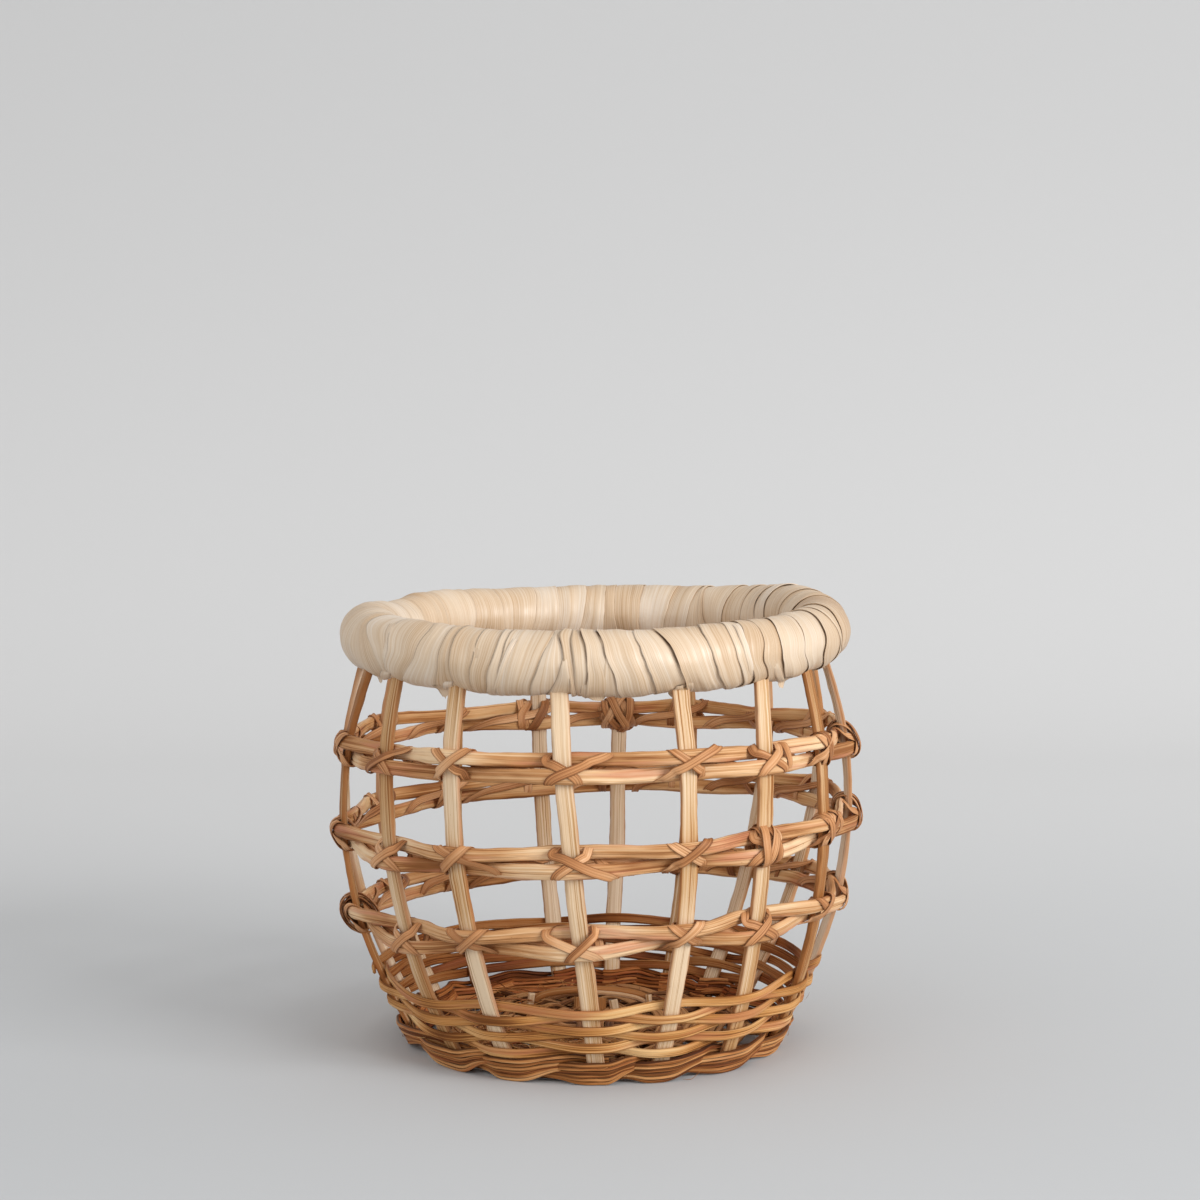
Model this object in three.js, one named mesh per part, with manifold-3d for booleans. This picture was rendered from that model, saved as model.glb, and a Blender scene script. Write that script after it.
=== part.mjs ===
// Open rattan basket with a leaf-wrapped rim, in millimetres, +Z up.
// The origin lies under the middle of the basket, on the surface that it stands on.
// A bearing is an angle in degrees seen from above, from the front (-Y) towards the right (+X).

import * as THREE from 'three';
import { mergeVertices } from 'three/addons/utils/BufferGeometryUtils.js';
import Module from 'manifold-3d';

const wasm = await Module();
wasm.setup();

// Middle line of the wall: its radius at four heights
const footHeight = 2;
const footRadius = 91;
const baseEdgeHeight = 37;
const baseEdgeRadius = 109;
const bellyHeight = 116;
const bellyRadius = 127.8;
const rimHeight = 207.3;
const rimRadius = 112.8;

// Gap between pieces that touch each other
const touchGap = 0.3;

// How the least gap of a strip to itself is searched, and how close points count as one
const leastGapSearch = 60;
const mergeTolerance = 1e-5;
const slopeStep = 0.5;

// Stakes: half-round uprights, set by hand, so neither evenly nor quite upright.
// Each has its bearing at the foot, at the belly and at the rim.
const stakeBearings = [
  [-88, -79, -69],
  [-44.5, -50, -54],
  [-25, -30.5, -33.5],
  [1, -4.8, -8.6],
  [18.6, 20, 19.5],
  [42.5, 38.3, 43],
  [70, 60, 62],
  [89, 84, 78],
  [125, 115, 107],
  [141, 135, 130],
  [155.5, 156, 156],
  [174.8, 174.3, 173.8],
  [191.6, 193.7, 195.5],
  [221, 217, 217],
  [240, 242, 240],
  [257, 265, 271],
];
const stakeWidth = 8.5;
const stakeThickness = 3.4;
const stakeShoulder = 0.4;
const stakeFrontFlat = 4.6;
const stakeLift = 2.4;
const stakeBend = 14.5;
const stakeBendsBelowHoops = 3;
const stakeDepthInRim = 8;
const stakeHoldMargin = 1.2;

// Rim: a bundle of canes as a core, wound with one strip of leaf. It rises to the right and the back.
const rimTilt = 1.3;
const rimFrontLift = -2.2;
const coreRadius = 12.8;
const coreSteps = 36;
const coreSides = 8;
const wrapInnerRadius = 13.7;
const wrapThickness = 1.6;
const wrapCrown = 0.9;
const wrapLoops = 24;
const wrapLoopGap = 0.8;
const wrapFirstBearing = 3;
const socketGap = 0.35;
const wrapStepsPerLoop = 12;

// Hoops: two canes, one above the other, that pass the stakes on opposite sides.
// Each hoop rises by its tilt to the right and by its lift to the front.
const topHoopHeight = 154.1;
const middleHoopBelowBelly = 2;
const middleHoopHeight = bellyHeight - middleHoopBelowBelly;
const lowerHoopHeight = 72;
const topHoopTilt = 1.7;
const middleHoopTilt = 4.9;
const lowerHoopTilt = 5.6;
const topHoopFrontLift = 2.7;
const middleHoopFrontLift = -0.6;
const lowerHoopFrontLift = 2.8;
const hoopCaneHeight = 7.2;
const hoopCaneThickness = 3.8;
const hoopCaneSpacing = 0.5;
const lowerHoop = { height: lowerHoopHeight, tilt: lowerHoopTilt, frontLift: lowerHoopFrontLift };
const middleHoop = {
  height: middleHoopHeight, tilt: middleHoopTilt, frontLift: middleHoopFrontLift,
};
const topHoop = { height: topHoopHeight, tilt: topHoopTilt, frontLift: topHoopFrontLift };
const rimLevel = { height: rimHeight, tilt: rimTilt, frontLift: rimFrontLift };

// Lashings: one flat strip for each hoop, crossed over every stake
const lashingWidth = 3.4;
const lashingThickness = 0.8;
const lashingReach = 7.5;
const lashingLayerGap = 0.6;
const lashingInsideLayers = 1.4;
const lashingTuck = 0.9;
const lashingSlack = 0.6;
const lashingFlatMargin = 0.5;
const lashingTurnAlong = 6;
const lashingTurnDrop = 0.3;

// Weavers run in pairs, half a turn apart
const weaversTogether = 2;

// Side weave: two flat canes that climb round the stakes, one in front where the other is behind
const weaverHeight = 3.7;
const weaverThickness = 1.8;
const weaverPitch = 4.4;
const weaverTurns = 3;
const weaverSpread = 0.08;

// Border: three canes that bulge round every stake, and one inside that carries the floor
const borderCaneHeight = 3.9;
const borderCaneThickness = 4;
const borderWaist = 1;
const footFlatWidth = 2.8;
const innerCaneLift = 0.9;
const innerCaneSteps = 24;

// Floor: canes crossed in the middle, whose ends fan out as the spokes, and two flat weavers
const floorCanesEachWay = 4;
const floorCaneWidth = 4.4;
const floorCaneThickness = 2.4;
const floorCaneSpacing = 5;
const floorWeaverSlack = 0.75;
const floorCrossReach = 14;
const floorFanRadius = 21;
const floorCaneReach = 88.5;
const floorWeaverWidth = 6.1;
const floorWeaverThickness = 1.3;
const floorWeaverPitch = 6.8;
const floorWeaverTurns = 4;

// Loose cane end that arches up from the floor
const archDiameter = 4.6;
const archLeft = -31;
const archRight = 27.5;
const archBack = 38;
const archTop = 18.4;
const archFootLift = 0.1;
const archSteps = 8;
const archSides = 6;

const degrees = THREE.MathUtils.degToRad;
const stakeCount = stakeBearings.length;
const UP = new THREE.Vector3(0, 0, 1);

// Value at a height on the smoothest curve through values given at some heights
function through(z, heights, values) {
  let total = 0;
  for (let i = 0; i < heights.length; i++) {
    let weight = values[i];
    for (let j = 0; j < heights.length; j++) {
      if (j !== i) weight *= (z - heights[j]) / (heights[i] - heights[j]);
    }
    total += weight;
  }
  return total;
}

// Radius of the wall's middle line
function wallRadius(z) {
  return through(
    z,
    [footHeight, baseEdgeHeight, bellyHeight, rimHeight],
    [footRadius, baseEdgeRadius, bellyRadius, rimRadius],
  );
}

function stakeBearing(stake, z) {
  return through(z, [footHeight, bellyHeight, rimHeight], stakeBearings[stake]);
}

function wallSlope(z) {
  return (wallRadius(z + slopeStep) - wallRadius(z - slopeStep)) / (2 * slopeStep);
}

function radialAxis(bearing) {
  const angle = degrees(bearing);
  return new THREE.Vector3(Math.sin(angle), -Math.cos(angle), 0);
}

function alongAxis(bearing) {
  const angle = degrees(bearing);
  return new THREE.Vector3(Math.cos(angle), Math.sin(angle), 0);
}

// Place on the wall's middle line, with axes along the wall, up the wall and out of it
function wallFrame(bearing, z) {
  const radial = radialAxis(bearing);
  const along = alongAxis(bearing);
  const up = radial.clone().multiplyScalar(wallSlope(z)).add(UP).normalize();
  const out = along.clone().cross(up);
  const origin = radial.multiplyScalar(wallRadius(z)).setZ(z);
  return { origin, along, up, out };
}

// Place at a height, with level axes, for pieces that lie flat
function levelFrame(bearing, radius, z) {
  const radial = radialAxis(bearing);
  const origin = radial.clone().multiplyScalar(radius).setZ(z);
  return { origin, along: alongAxis(bearing), up: UP.clone(), out: radial };
}

function offset(frame, out, up, along = 0) {
  return frame.origin.clone()
    .addScaledVector(frame.out, out)
    .addScaledVector(frame.up, up)
    .addScaledVector(frame.along, along);
}

// Six-sided oval with a flat on the two broad faces: [across, up] pairs
function ovalSection(thickness, height) {
  const broad = thickness / 2;
  return [
    [broad, -height / 4], [broad, height / 4], [0, height / 2],
    [-broad, height / 4], [-broad, -height / 4], [0, -height / 2],
  ];
}

function flatSection(thickness, height) {
  const x = thickness / 2;
  const y = height / 2;
  return [[x, -y], [x, y], [-x, y], [-x, -y]];
}

// Closed skin through rings of points, with a fan over each end unless the rings close on themselves
function skin(rings, closed = false) {
  const sides = rings[0].length;
  const spans = closed ? rings.length : rings.length - 1;
  const faces = [];
  for (let i = 0; i < spans; i++) {
    const here = i * sides;
    const there = ((i + 1) % rings.length) * sides;
    for (let j = 0; j < sides; j++) {
      const k = (j + 1) % sides;
      faces.push(here + j, there + j, there + k, here + j, there + k, here + k);
    }
  }
  if (!closed) {
    const last = (rings.length - 1) * sides;
    for (let j = 2; j < sides; j++) {
      const k = (j + 1) % sides;
      faces.push(1, j, k, last + 1, last + k, last + j);
    }
  }
  const positions = new Float32Array(rings.flat().flatMap((point) => point.toArray()));
  const geometry = new THREE.BufferGeometry();
  geometry.setAttribute('position', new THREE.BufferAttribute(positions, 3));
  geometry.setIndex(signedVolume(positions, faces) < 0 ? faces.reverse() : faces);
  return geometry;
}

function signedVolume(positions, faces) {
  const corners = [new THREE.Vector3(), new THREE.Vector3(), new THREE.Vector3()];
  let volume = 0;
  for (let i = 0; i < faces.length; i += 3) {
    corners.forEach((corner, j) => corner.fromArray(positions, faces[i + j] * 3));
    volume += corners[0].dot(corners[1].clone().cross(corners[2])) / 6;
  }
  return volume;
}

function toSolid(geometry) {
  const merged = mergeVertices(geometry, mergeTolerance);
  return new wasm.Manifold(new wasm.Mesh({
    numProp: 3,
    vertProperties: merged.getAttribute('position').array,
    triVerts: Uint32Array.from(merged.getIndex().array),
  }));
}

function toGeometry(solid) {
  const mesh = solid.getMesh();
  const geometry = new THREE.BufferGeometry();
  geometry.setAttribute('position', new THREE.BufferAttribute(mesh.vertProperties, 3));
  geometry.setIndex(new THREE.BufferAttribute(mesh.triVerts, 1));
  return geometry;
}

function cutBy(geometry, cutters) {
  let solid = toSolid(geometry);
  for (const cutter of cutters) solid = solid.subtract(toSolid(cutter));
  return toGeometry(solid);
}

// Least distance between stretches of one strip that lie more than half a loop apart
function leastGapToItself(rings, stepsApart, closed = false) {
  const line = new THREE.Line3();
  const nearest = new THREE.Vector3();
  const count = rings.length;
  let least = Infinity;
  for (let i = 0; i < count; i++) {
    for (let j = 0; j < count - (closed ? 0 : 1); j++) {
      const apart = Math.abs(i - j);
      const stepsBetween = closed ? Math.min(apart, count - apart) : apart;
      if (stepsBetween < stepsApart) continue;
      if (rings[i][0].distanceTo(rings[j][0]) > leastGapSearch) continue;
      for (const point of rings[i]) {
        for (let k = 0; k < rings[j].length; k++) {
          line.set(rings[j][k], rings[(j + 1) % count][k]);
          line.closestPointToPoint(point, true, nearest);
          least = Math.min(least, nearest.distanceTo(point));
        }
      }
    }
  }
  return least;
}

// Bearing of a spot that lies some millimetres past a stake, at a height
function bearingPast(stake, distance, z) {
  const turns = Math.floor(stake / stakeCount);
  const bearing = stakeBearing(stake - turns * stakeCount, z) + turns * 360;
  return bearing + THREE.MathUtils.radToDeg(distance / wallRadius(z));
}

function bearingBetween(stake, z) {
  return (bearingPast(stake, 0, z) + bearingPast(stake + 1, 0, z)) / 2;
}

// Height of a hoop or the rim, none of which lies quite level
function heightAt(level, bearing) {
  const angle = degrees(bearing);
  return level.height + level.tilt * Math.sin(angle) + level.frontLift * Math.cos(angle);
}

function heightAtStake(level, stake) {
  return heightAt(level, bearingPast(stake, 0, level.height));
}

// Half the length over which a cane lies flat against a stake
const stakeHold = stakeWidth / 2 + stakeHoldMargin;

const materials = {
  leaf: { color: 0xe3cfa8, roughness: 0.55 },
  core: { color: 0xc9a878, roughness: 0.8 },
  stake: { color: 0xdcb98a, roughness: 0.6 },
  hoop: { color: 0xc4986a, roughness: 0.62 },
  lashing: { color: 0xb58350, roughness: 0.6 },
  weave: { color: 0xb88a58, roughness: 0.68 },
  border: { color: 0xa9744a, roughness: 0.68 },
  floor: { color: 0x99693f, roughness: 0.75 },
};

function addPiece(group, name, geometry, finish) {
  geometry.computeVertexNormals();
  const mesh = new THREE.Mesh(geometry, new THREE.MeshStandardMaterial({
    ...materials[finish], metalness: 0,
  }));
  mesh.name = name;
  group.add(mesh);
}

// Stakes

function stakeSection(margin = 0) {
  const side = stakeWidth / 2 + margin;
  const face = stakeThickness / 2 + margin;
  const flat = stakeFrontFlat / 2 + margin;
  return [
    [-face, -side], [stakeShoulder, -side], [face, -flat],
    [face, flat], [stakeShoulder, side], [-face, side],
  ];
}

function stakeGeometry(stake, heights, section) {
  return skin(heights.map((z) => {
    const frame = wallFrame(stakeBearing(stake, z), z);
    return section.map(([out, along]) => offset(frame, out, 0, along));
  }));
}

function stakeTop(stake) {
  return heightAtStake(rimLevel, stake) - coreRadius + stakeDepthInRim;
}

// Half the height of a hoop's two canes and the slit between them
const hoopHalfHeight = hoopCaneHeight + hoopCaneSpacing / 2;

// A stake is straight where a hoop holds it, and bends between the hoops and in the weave
function stakeHeights(stake) {
  const heights = [stakeLift];
  for (let i = 1; i <= stakeBendsBelowHoops; i++) heights.push(i * stakeBend);
  for (const hoop of [lowerHoop, middleHoop, topHoop]) {
    const middle = heightAtStake(hoop, stake);
    heights.push(middle - hoopHalfHeight, middle + hoopHalfHeight);
  }
  return [...heights, stakeTop(stake)];
}

function stakes() {
  const group = new THREE.Group();
  for (let i = 0; i < stakeCount; i++) {
    const name = `stake_${String(i + 1).padStart(2, '0')}`;
    addPiece(group, name, stakeGeometry(i, stakeHeights(i), stakeSection()), 'stake');
  }
  return group;
}

// Room for a stake's end in the rim: a slit in the wrap and a socket in the core
function stakeSocket(stake) {
  const side = stakeWidth / 2 + socketGap;
  const face = stakeThickness / 2 + socketGap;
  const box = [[-face, -side], [face, -side], [face, side], [-face, side]];
  const lastBend = stakeHeights(stake).at(-2);
  return stakeGeometry(stake, [lastBend, stakeTop(stake) + socketGap], box);
}

// Rim

function rollPoint(bearing, turn, distance) {
  const frame = levelFrame(bearing, rimRadius, heightAt(rimLevel, bearing));
  return offset(frame, distance * Math.cos(turn), distance * Math.sin(turn));
}

function rimCore(sockets) {
  const rings = [];
  for (let i = 0; i < coreSteps; i++) {
    const ring = [];
    for (let j = 0; j < coreSides; j++) {
      ring.push(rollPoint(360 * i / coreSteps, 2 * Math.PI * j / coreSides, coreRadius));
    }
    rings.push(ring);
  }
  return cutBy(skin(rings, true), sockets);
}

function rimWrap(sockets) {
  const loopBearing = 360 / wrapLoops;
  const outerRadius = wrapInnerRadius + wrapThickness;
  const rings = [];
  for (let i = 0; i <= wrapLoops * wrapStepsPerLoop; i++) {
    const atEnd = i === wrapLoops * wrapStepsPerLoop;
    const pullBack = atEnd ? wrapLoopGap / outerRadius : 0;
    const turn = 2 * Math.PI * i / wrapStepsPerLoop - pullBack;
    const bearing = wrapFirstBearing + loopBearing * turn / (2 * Math.PI);
    const reach = rimRadius + outerRadius * Math.cos(turn);
    const half = loopBearing / 2 - THREE.MathUtils.radToDeg(wrapLoopGap / 2 / reach);
    rings.push([
      rollPoint(bearing - half, turn, outerRadius),
      rollPoint(bearing, turn, outerRadius + wrapCrown),
      rollPoint(bearing + half, turn, outerRadius),
      rollPoint(bearing + half, turn, wrapInnerRadius),
      rollPoint(bearing, turn, wrapInnerRadius + wrapCrown / 2),
      rollPoint(bearing - half, turn, wrapInnerRadius),
    ]);
  }
  const gap = leastGapToItself(rings, wrapStepsPerLoop / 2);
  console.log(`rim_wrap: least gap to itself ${gap.toFixed(2)} mm`);
  return cutBy(skin(rings), sockets);
}

function rim() {
  const group = new THREE.Group();
  const sockets = stakeBearings.map((_, stake) => stakeSocket(stake));
  addPiece(group, 'rim_core', rimCore(sockets), 'core');
  addPiece(group, 'rim_wrap', rimWrap(sockets), 'leaf');
  return group;
}

// Hoops

const hoopCaneOut = stakeThickness / 2 + touchGap + hoopCaneThickness / 2;
const hoopCaneUp = hoopHalfHeight - hoopCaneHeight / 2;

// The upper cane passes outside the even stakes, the lower cane outside the odd ones
function hoopCane(hoop, isUpper) {
  const section = ovalSection(hoopCaneThickness, hoopCaneHeight);
  const up = isUpper ? hoopCaneUp : -hoopCaneUp;
  const rings = [];
  const ringAt = (bearing, out) => {
    const frame = wallFrame(bearing, heightAt(hoop, bearing));
    rings.push(section.map(([x, y]) => offset(frame, out + x, up + y)));
  };
  for (let i = 0; i < stakeCount; i++) {
    const side = (i % 2 === 0) === isUpper ? 1 : -1;
    const height = heightAtStake(hoop, i) + up;
    ringAt(bearingPast(i, -stakeHold, height), side * hoopCaneOut);
    ringAt(bearingPast(i, stakeHold, height), side * hoopCaneOut);
  }
  return skin(rings, true);
}

// Ways that the strip's outer face looks, as [up, out]: straight, or where two faces meet in a fold
const lashingFaces = {
  front: [0, 1],
  inside: [0, -1],
  topFront: [1, 1],
  topInside: [1, -1],
  bottomFront: [-1, 1],
  bottomInside: [-1, -1],
};

// One strip for each hoop. It crosses a stake upwards, comes down inside, crosses it again
// the other way over the first crossing, and runs down inside to the next stake.
// Its folds and crossings lie along the hoop; only the inside run is turned on its side.
function lashing(name, hoop) {
  const clear = lashingSlack + lashingThickness / 2;
  const layer = lashingThickness + lashingLayerGap;
  const reach = lashingReach;
  const turnUp = hoopHalfHeight + clear;
  const snug = hoopCaneOut + hoopCaneThickness / 2 + clear;
  const deep = snug + lashingInsideLayers * layer;
  const foldWidth = lashingWidth * Math.hypot(reach, turnUp) / turnUp;
  const flatAlong = foldWidth / 2 + lashingFlatMargin;
  const flatUp = flatAlong * turnUp / reach;
  const runUp = turnUp - lashingWidth / 2 - lashingTurnDrop;
  const rings = [];
  const ringAt = (stake, [along, up, out], face, isRun = false) => {
    const bearing = bearingPast(stake, along, heightAtStake(hoop, stake) + up);
    const frame = wallFrame(bearing, heightAt(hoop, bearing));
    const [faceUp, faceOut] = lashingFaces[face];
    const section = flatSection(lashingThickness, isRun ? lashingWidth : foldWidth);
    rings.push(section.map(([thick, wide]) => (
      offset(
        frame,
        out + thick * faceOut,
        up + thick * faceUp + (isRun ? wide : 0),
        isRun ? 0 : wide,
      )
    )));
  };
  for (let i = 0; i < stakeCount; i++) {
    const upperOut = i % 2 === 0;
    const outTop = upperOut ? snug : lashingTuck;
    const outBottom = upperOut ? lashingTuck : snug;
    ringAt(i, [-reach - lashingTurnAlong, -runUp, -snug], 'inside', true);
    ringAt(i, [-reach, -turnUp, -snug], 'bottomInside');
    ringAt(i, [-reach, -turnUp, outBottom], 'bottomFront');
    ringAt(i, [0, 0, snug], 'front');
    ringAt(i, [reach, turnUp, outTop], 'topFront');
    ringAt(i, [reach, turnUp, -snug], 'topInside');
    ringAt(i, [reach, -turnUp, -snug], 'bottomInside');
    ringAt(i, [reach, -turnUp, outBottom], 'bottomFront');
    ringAt(i, [flatAlong, -flatUp, snug + layer], 'front');
    ringAt(i, [-flatAlong, flatUp, snug + layer], 'front');
    ringAt(i, [-reach, turnUp, outTop], 'topFront');
    ringAt(i, [-reach, turnUp, -deep], 'topInside');
    ringAt(i, [lashingTurnAlong - reach, runUp, -deep], 'inside', true);
  }
  const gap = leastGapToItself(rings, 3, true);
  console.log(`${name}: least gap to itself ${gap.toFixed(2)} mm`);
  return skin(rings, true);
}

function hoops() {
  const group = new THREE.Group();
  for (const [name, hoop] of Object.entries({ lower: lowerHoop, middle: middleHoop, top: topHoop })) {
    addPiece(group, `${name}_hoop_upper_cane`, hoopCane(hoop, true), 'hoop');
    addPiece(group, `${name}_hoop_lower_cane`, hoopCane(hoop, false), 'hoop');
    const strip = `${name}_hoop_lashing`;
    addPiece(group, strip, lashing(strip, hoop), 'lashing');
  }
  return group;
}

// Side weave

const weaverOut = stakeThickness / 2 + touchGap + weaverThickness / 2;
const borderTop = 3 * borderCaneHeight + 2 * touchGap;
const weaverLowest = (weaverHeight / 2 + (weaverOut + weaverThickness / 2) * wallSlope(borderTop))
  / Math.hypot(1, wallSlope(borderTop));
const firstRowHeight = borderTop + touchGap + weaverLowest;

// A weaver starts behind a stake and alternates from stake to stake as it climbs.
// The second one follows half a turn later, so it lies one row below the first.
function sideWeaver(firstStake, rowsBelow) {
  const section = flatSection(weaverThickness, weaverHeight);
  const start = bearingPast(1, 0, footHeight);
  const rings = [];
  const ringAt = (stake, along, side) => {
    const climbed = bearingPast(stake, along, footHeight) - start;
    const rows = weaversTogether * climbed / 360 - rowsBelow;
    const spread = 1 + weaverSpread * Math.sin(degrees(start + climbed));
    const height = firstRowHeight + weaverPitch * rows * spread;
    const frame = wallFrame(bearingPast(stake, along, height), height);
    rings.push(section.map(([x, y]) => offset(frame, side * weaverOut + x, y)));
  };
  const last = firstStake + Math.round(weaverTurns * stakeCount);
  for (let i = firstStake; i < last; i++) {
    const side = (i - firstStake) % 2 === 0 ? -1 : 1;
    ringAt(i, -stakeHold, side);
    ringAt(i, stakeHold, side);
  }
  return skin(rings);
}

// Border canes, scalloped: each bulges at a stake and draws in between two stakes
function borderCane(level) {
  const height = borderCaneHeight / 2 + level * (borderCaneHeight + touchGap);
  const radius = wallRadius(height);
  const tilt = Math.hypot(1, wallSlope(height));
  const bulge = (stakeThickness / 2) * tilt + touchGap + borderCaneThickness / 2
    + borderCaneHeight / 2 * wallSlope(height);
  const section = level === 0
    ? footSection() : ovalSection(borderCaneThickness, borderCaneHeight);
  const rings = [];
  const ringAt = (bearing, out) => {
    const frame = levelFrame(bearing, radius + out, height);
    rings.push(section.map(([x, y]) => offset(frame, x, y)));
  };
  for (let i = 0; i < stakeCount; i++) {
    ringAt(bearingPast(i, -stakeHold, height), bulge);
    ringAt(bearingPast(i, stakeHold, height), bulge);
    ringAt(bearingBetween(i, height), borderWaist);
  }
  return skin(rings, true);
}

// The lowest cane is worn flat underneath, where the basket stands
function footSection() {
  const half = borderCaneThickness / 2;
  const flat = footFlatWidth / 2;
  const low = -borderCaneHeight / 2;
  return [[flat, low], [half, 0], [flat, -low], [-flat, -low], [-half, 0], [-flat, low]];
}

const innerCaneTop = innerCaneLift + borderCaneHeight;
const stakeFootInside = wallRadius(stakeLift)
  - (stakeThickness / 2) / Math.hypot(1, wallSlope(stakeLift));
const innerCaneRadius = stakeFootInside - touchGap - borderCaneThickness / 2;

function innerCane() {
  const height = innerCaneLift + borderCaneHeight / 2;
  const section = ovalSection(borderCaneThickness, borderCaneHeight);
  const rings = [];
  for (let i = 0; i < innerCaneSteps; i++) {
    const frame = levelFrame(360 * i / innerCaneSteps, innerCaneRadius, height);
    rings.push(section.map(([x, y]) => offset(frame, x, y)));
  }
  return skin(rings, true);
}

// Floor

const floorHeight = innerCaneTop + touchGap + floorCaneThickness / 2;
const spokeCount = 4 * floorCanesEachWay;
const floorWeaverEnd = innerCaneRadius * Math.cos(Math.PI / innerCaneSteps)
  - borderCaneThickness / 2 - touchGap - floorWeaverWidth / 2;
const floorWeaverPerTurn = weaversTogether * floorWeaverPitch;
const floorWeaverStart = floorWeaverEnd - floorWeaverPerTurn * floorWeaverTurns;

function spokeBearing(spoke) {
  return 360 * (spoke + 0.5) / spokeCount;
}

// One of the canes that cross: straight through the crossing, then fanned out at both ends
function floorCane(index) {
  const quarter = index < floorCanesEachWay ? 0 : 90;
  const place = index % floorCanesEachWay - (floorCanesEachWay - 1) / 2;
  const side = place * floorCaneSpacing;
  const fan = place * 360 / spokeCount;
  const lift = quarter === 0 ? -1 : 1;
  const centreUp = lift * (floorCaneThickness + touchGap) / 2;
  const forward = alongAxis(quarter);
  const left = alongAxis(quarter + 90);
  const rings = [];
  const section = ovalSection(floorCaneWidth, floorCaneThickness).map(([w, t]) => [t, w]);
  const addRing = (x, y, z, turn) => {
    const point = forward.clone().multiplyScalar(x).addScaledVector(left, y).setZ(z);
    const across = alongAxis(quarter + 90 + turn);
    rings.push(section.map(([up, wide]) => (
      point.clone().addScaledVector(UP, up).addScaledVector(across, wide)
    )));
  };
  const end = degrees(fan);
  const far = [floorCaneReach * Math.cos(end), floorCaneReach * Math.sin(end)];
  const leave = [floorFanRadius * Math.cos(end), floorFanRadius * Math.sin(end)];
  addRing(-far[0], far[1], floorHeight, -fan);
  addRing(-leave[0], leave[1], floorHeight, -fan);
  addRing(-floorCrossReach, side, floorHeight + centreUp, 0);
  addRing(floorCrossReach, side, floorHeight + centreUp, 0);
  addRing(leave[0], leave[1], floorHeight, fan);
  addRing(far[0], far[1], floorHeight, fan);
  return skin(rings);
}

// A floor weaver spirals outwards, over one spoke and under the next
function floorWeaver(firstSpoke, firstSide) {
  const lift = floorCaneThickness / 2 + floorWeaverSlack + floorWeaverThickness / 2;
  const section = flatSection(floorWeaverWidth, floorWeaverThickness);
  const rings = [];
  const last = firstSpoke + floorWeaverTurns * spokeCount;
  for (let spoke = firstSpoke; spoke <= last; spoke++) {
    const side = (spoke - firstSpoke) % 2 === 0 ? firstSide : -firstSide;
    const turns = (spoke - firstSpoke) / spokeCount;
    const radius = floorWeaverStart + floorWeaverPerTurn * turns;
    const frame = levelFrame(spokeBearing(spoke), radius, floorHeight + side * lift);
    rings.push(section.map(([x, y]) => offset(frame, x, y)));
  }
  return skin(rings);
}

const floorWeaverTop = floorHeight + floorCaneThickness / 2 + floorWeaverSlack
  + floorWeaverThickness;

function floorArch() {
  const foot = floorWeaverTop + touchGap + archFootLift;
  const middle = (archLeft + archRight) / 2;
  const half = (archRight - archLeft) / 2;
  const rise = archTop - archDiameter / 2 - foot;
  const rings = [];
  for (let i = 0; i <= archSteps; i++) {
    const angle = Math.PI * (1 - i / archSteps);
    const x = middle + half * Math.cos(angle);
    const z = foot + rise * Math.sin(angle);
    const across = new THREE.Vector3(half * Math.cos(angle), 0, rise * Math.sin(angle));
    across.x /= half * half;
    across.z /= rise * rise;
    across.normalize();
    const ring = [];
    for (let j = 0; j < archSides; j++) {
      const turn = 2 * Math.PI * j / archSides;
      ring.push(new THREE.Vector3(x, archBack, z)
        .addScaledVector(across, archDiameter / 2 * Math.cos(turn))
        .addScaledVector(new THREE.Vector3(0, 1, 0), archDiameter / 2 * Math.sin(turn)));
    }
    rings.push(ring);
  }
  return skin(rings);
}

function base() {
  const group = new THREE.Group();
  addPiece(group, 'side_weaver_a', sideWeaver(1, 0), 'weave');
  addPiece(group, 'side_weaver_b', sideWeaver(stakeCount / 2, 1), 'weave');
  addPiece(group, 'border_foot_cane', borderCane(0), 'border');
  addPiece(group, 'border_middle_cane', borderCane(1), 'border');
  addPiece(group, 'border_upper_cane', borderCane(2), 'border');
  addPiece(group, 'border_inner_cane', innerCane(), 'border');
  for (let i = 0; i < 2 * floorCanesEachWay; i++) {
    addPiece(group, `floor_cane_${i + 1}`, floorCane(i), 'floor');
  }
  addPiece(group, 'floor_weaver_a', floorWeaver(0, 1), 'floor');
  addPiece(group, 'floor_weaver_b', floorWeaver(spokeCount / 2, -1), 'floor');
  addPiece(group, 'floor_arch_cane', floorArch(), 'stake');
  return group;
}

const basket = new THREE.Group();
basket.add(rim(), stakes(), hoops(), base());

export default basket;
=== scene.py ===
import math
from functools import partial

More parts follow.
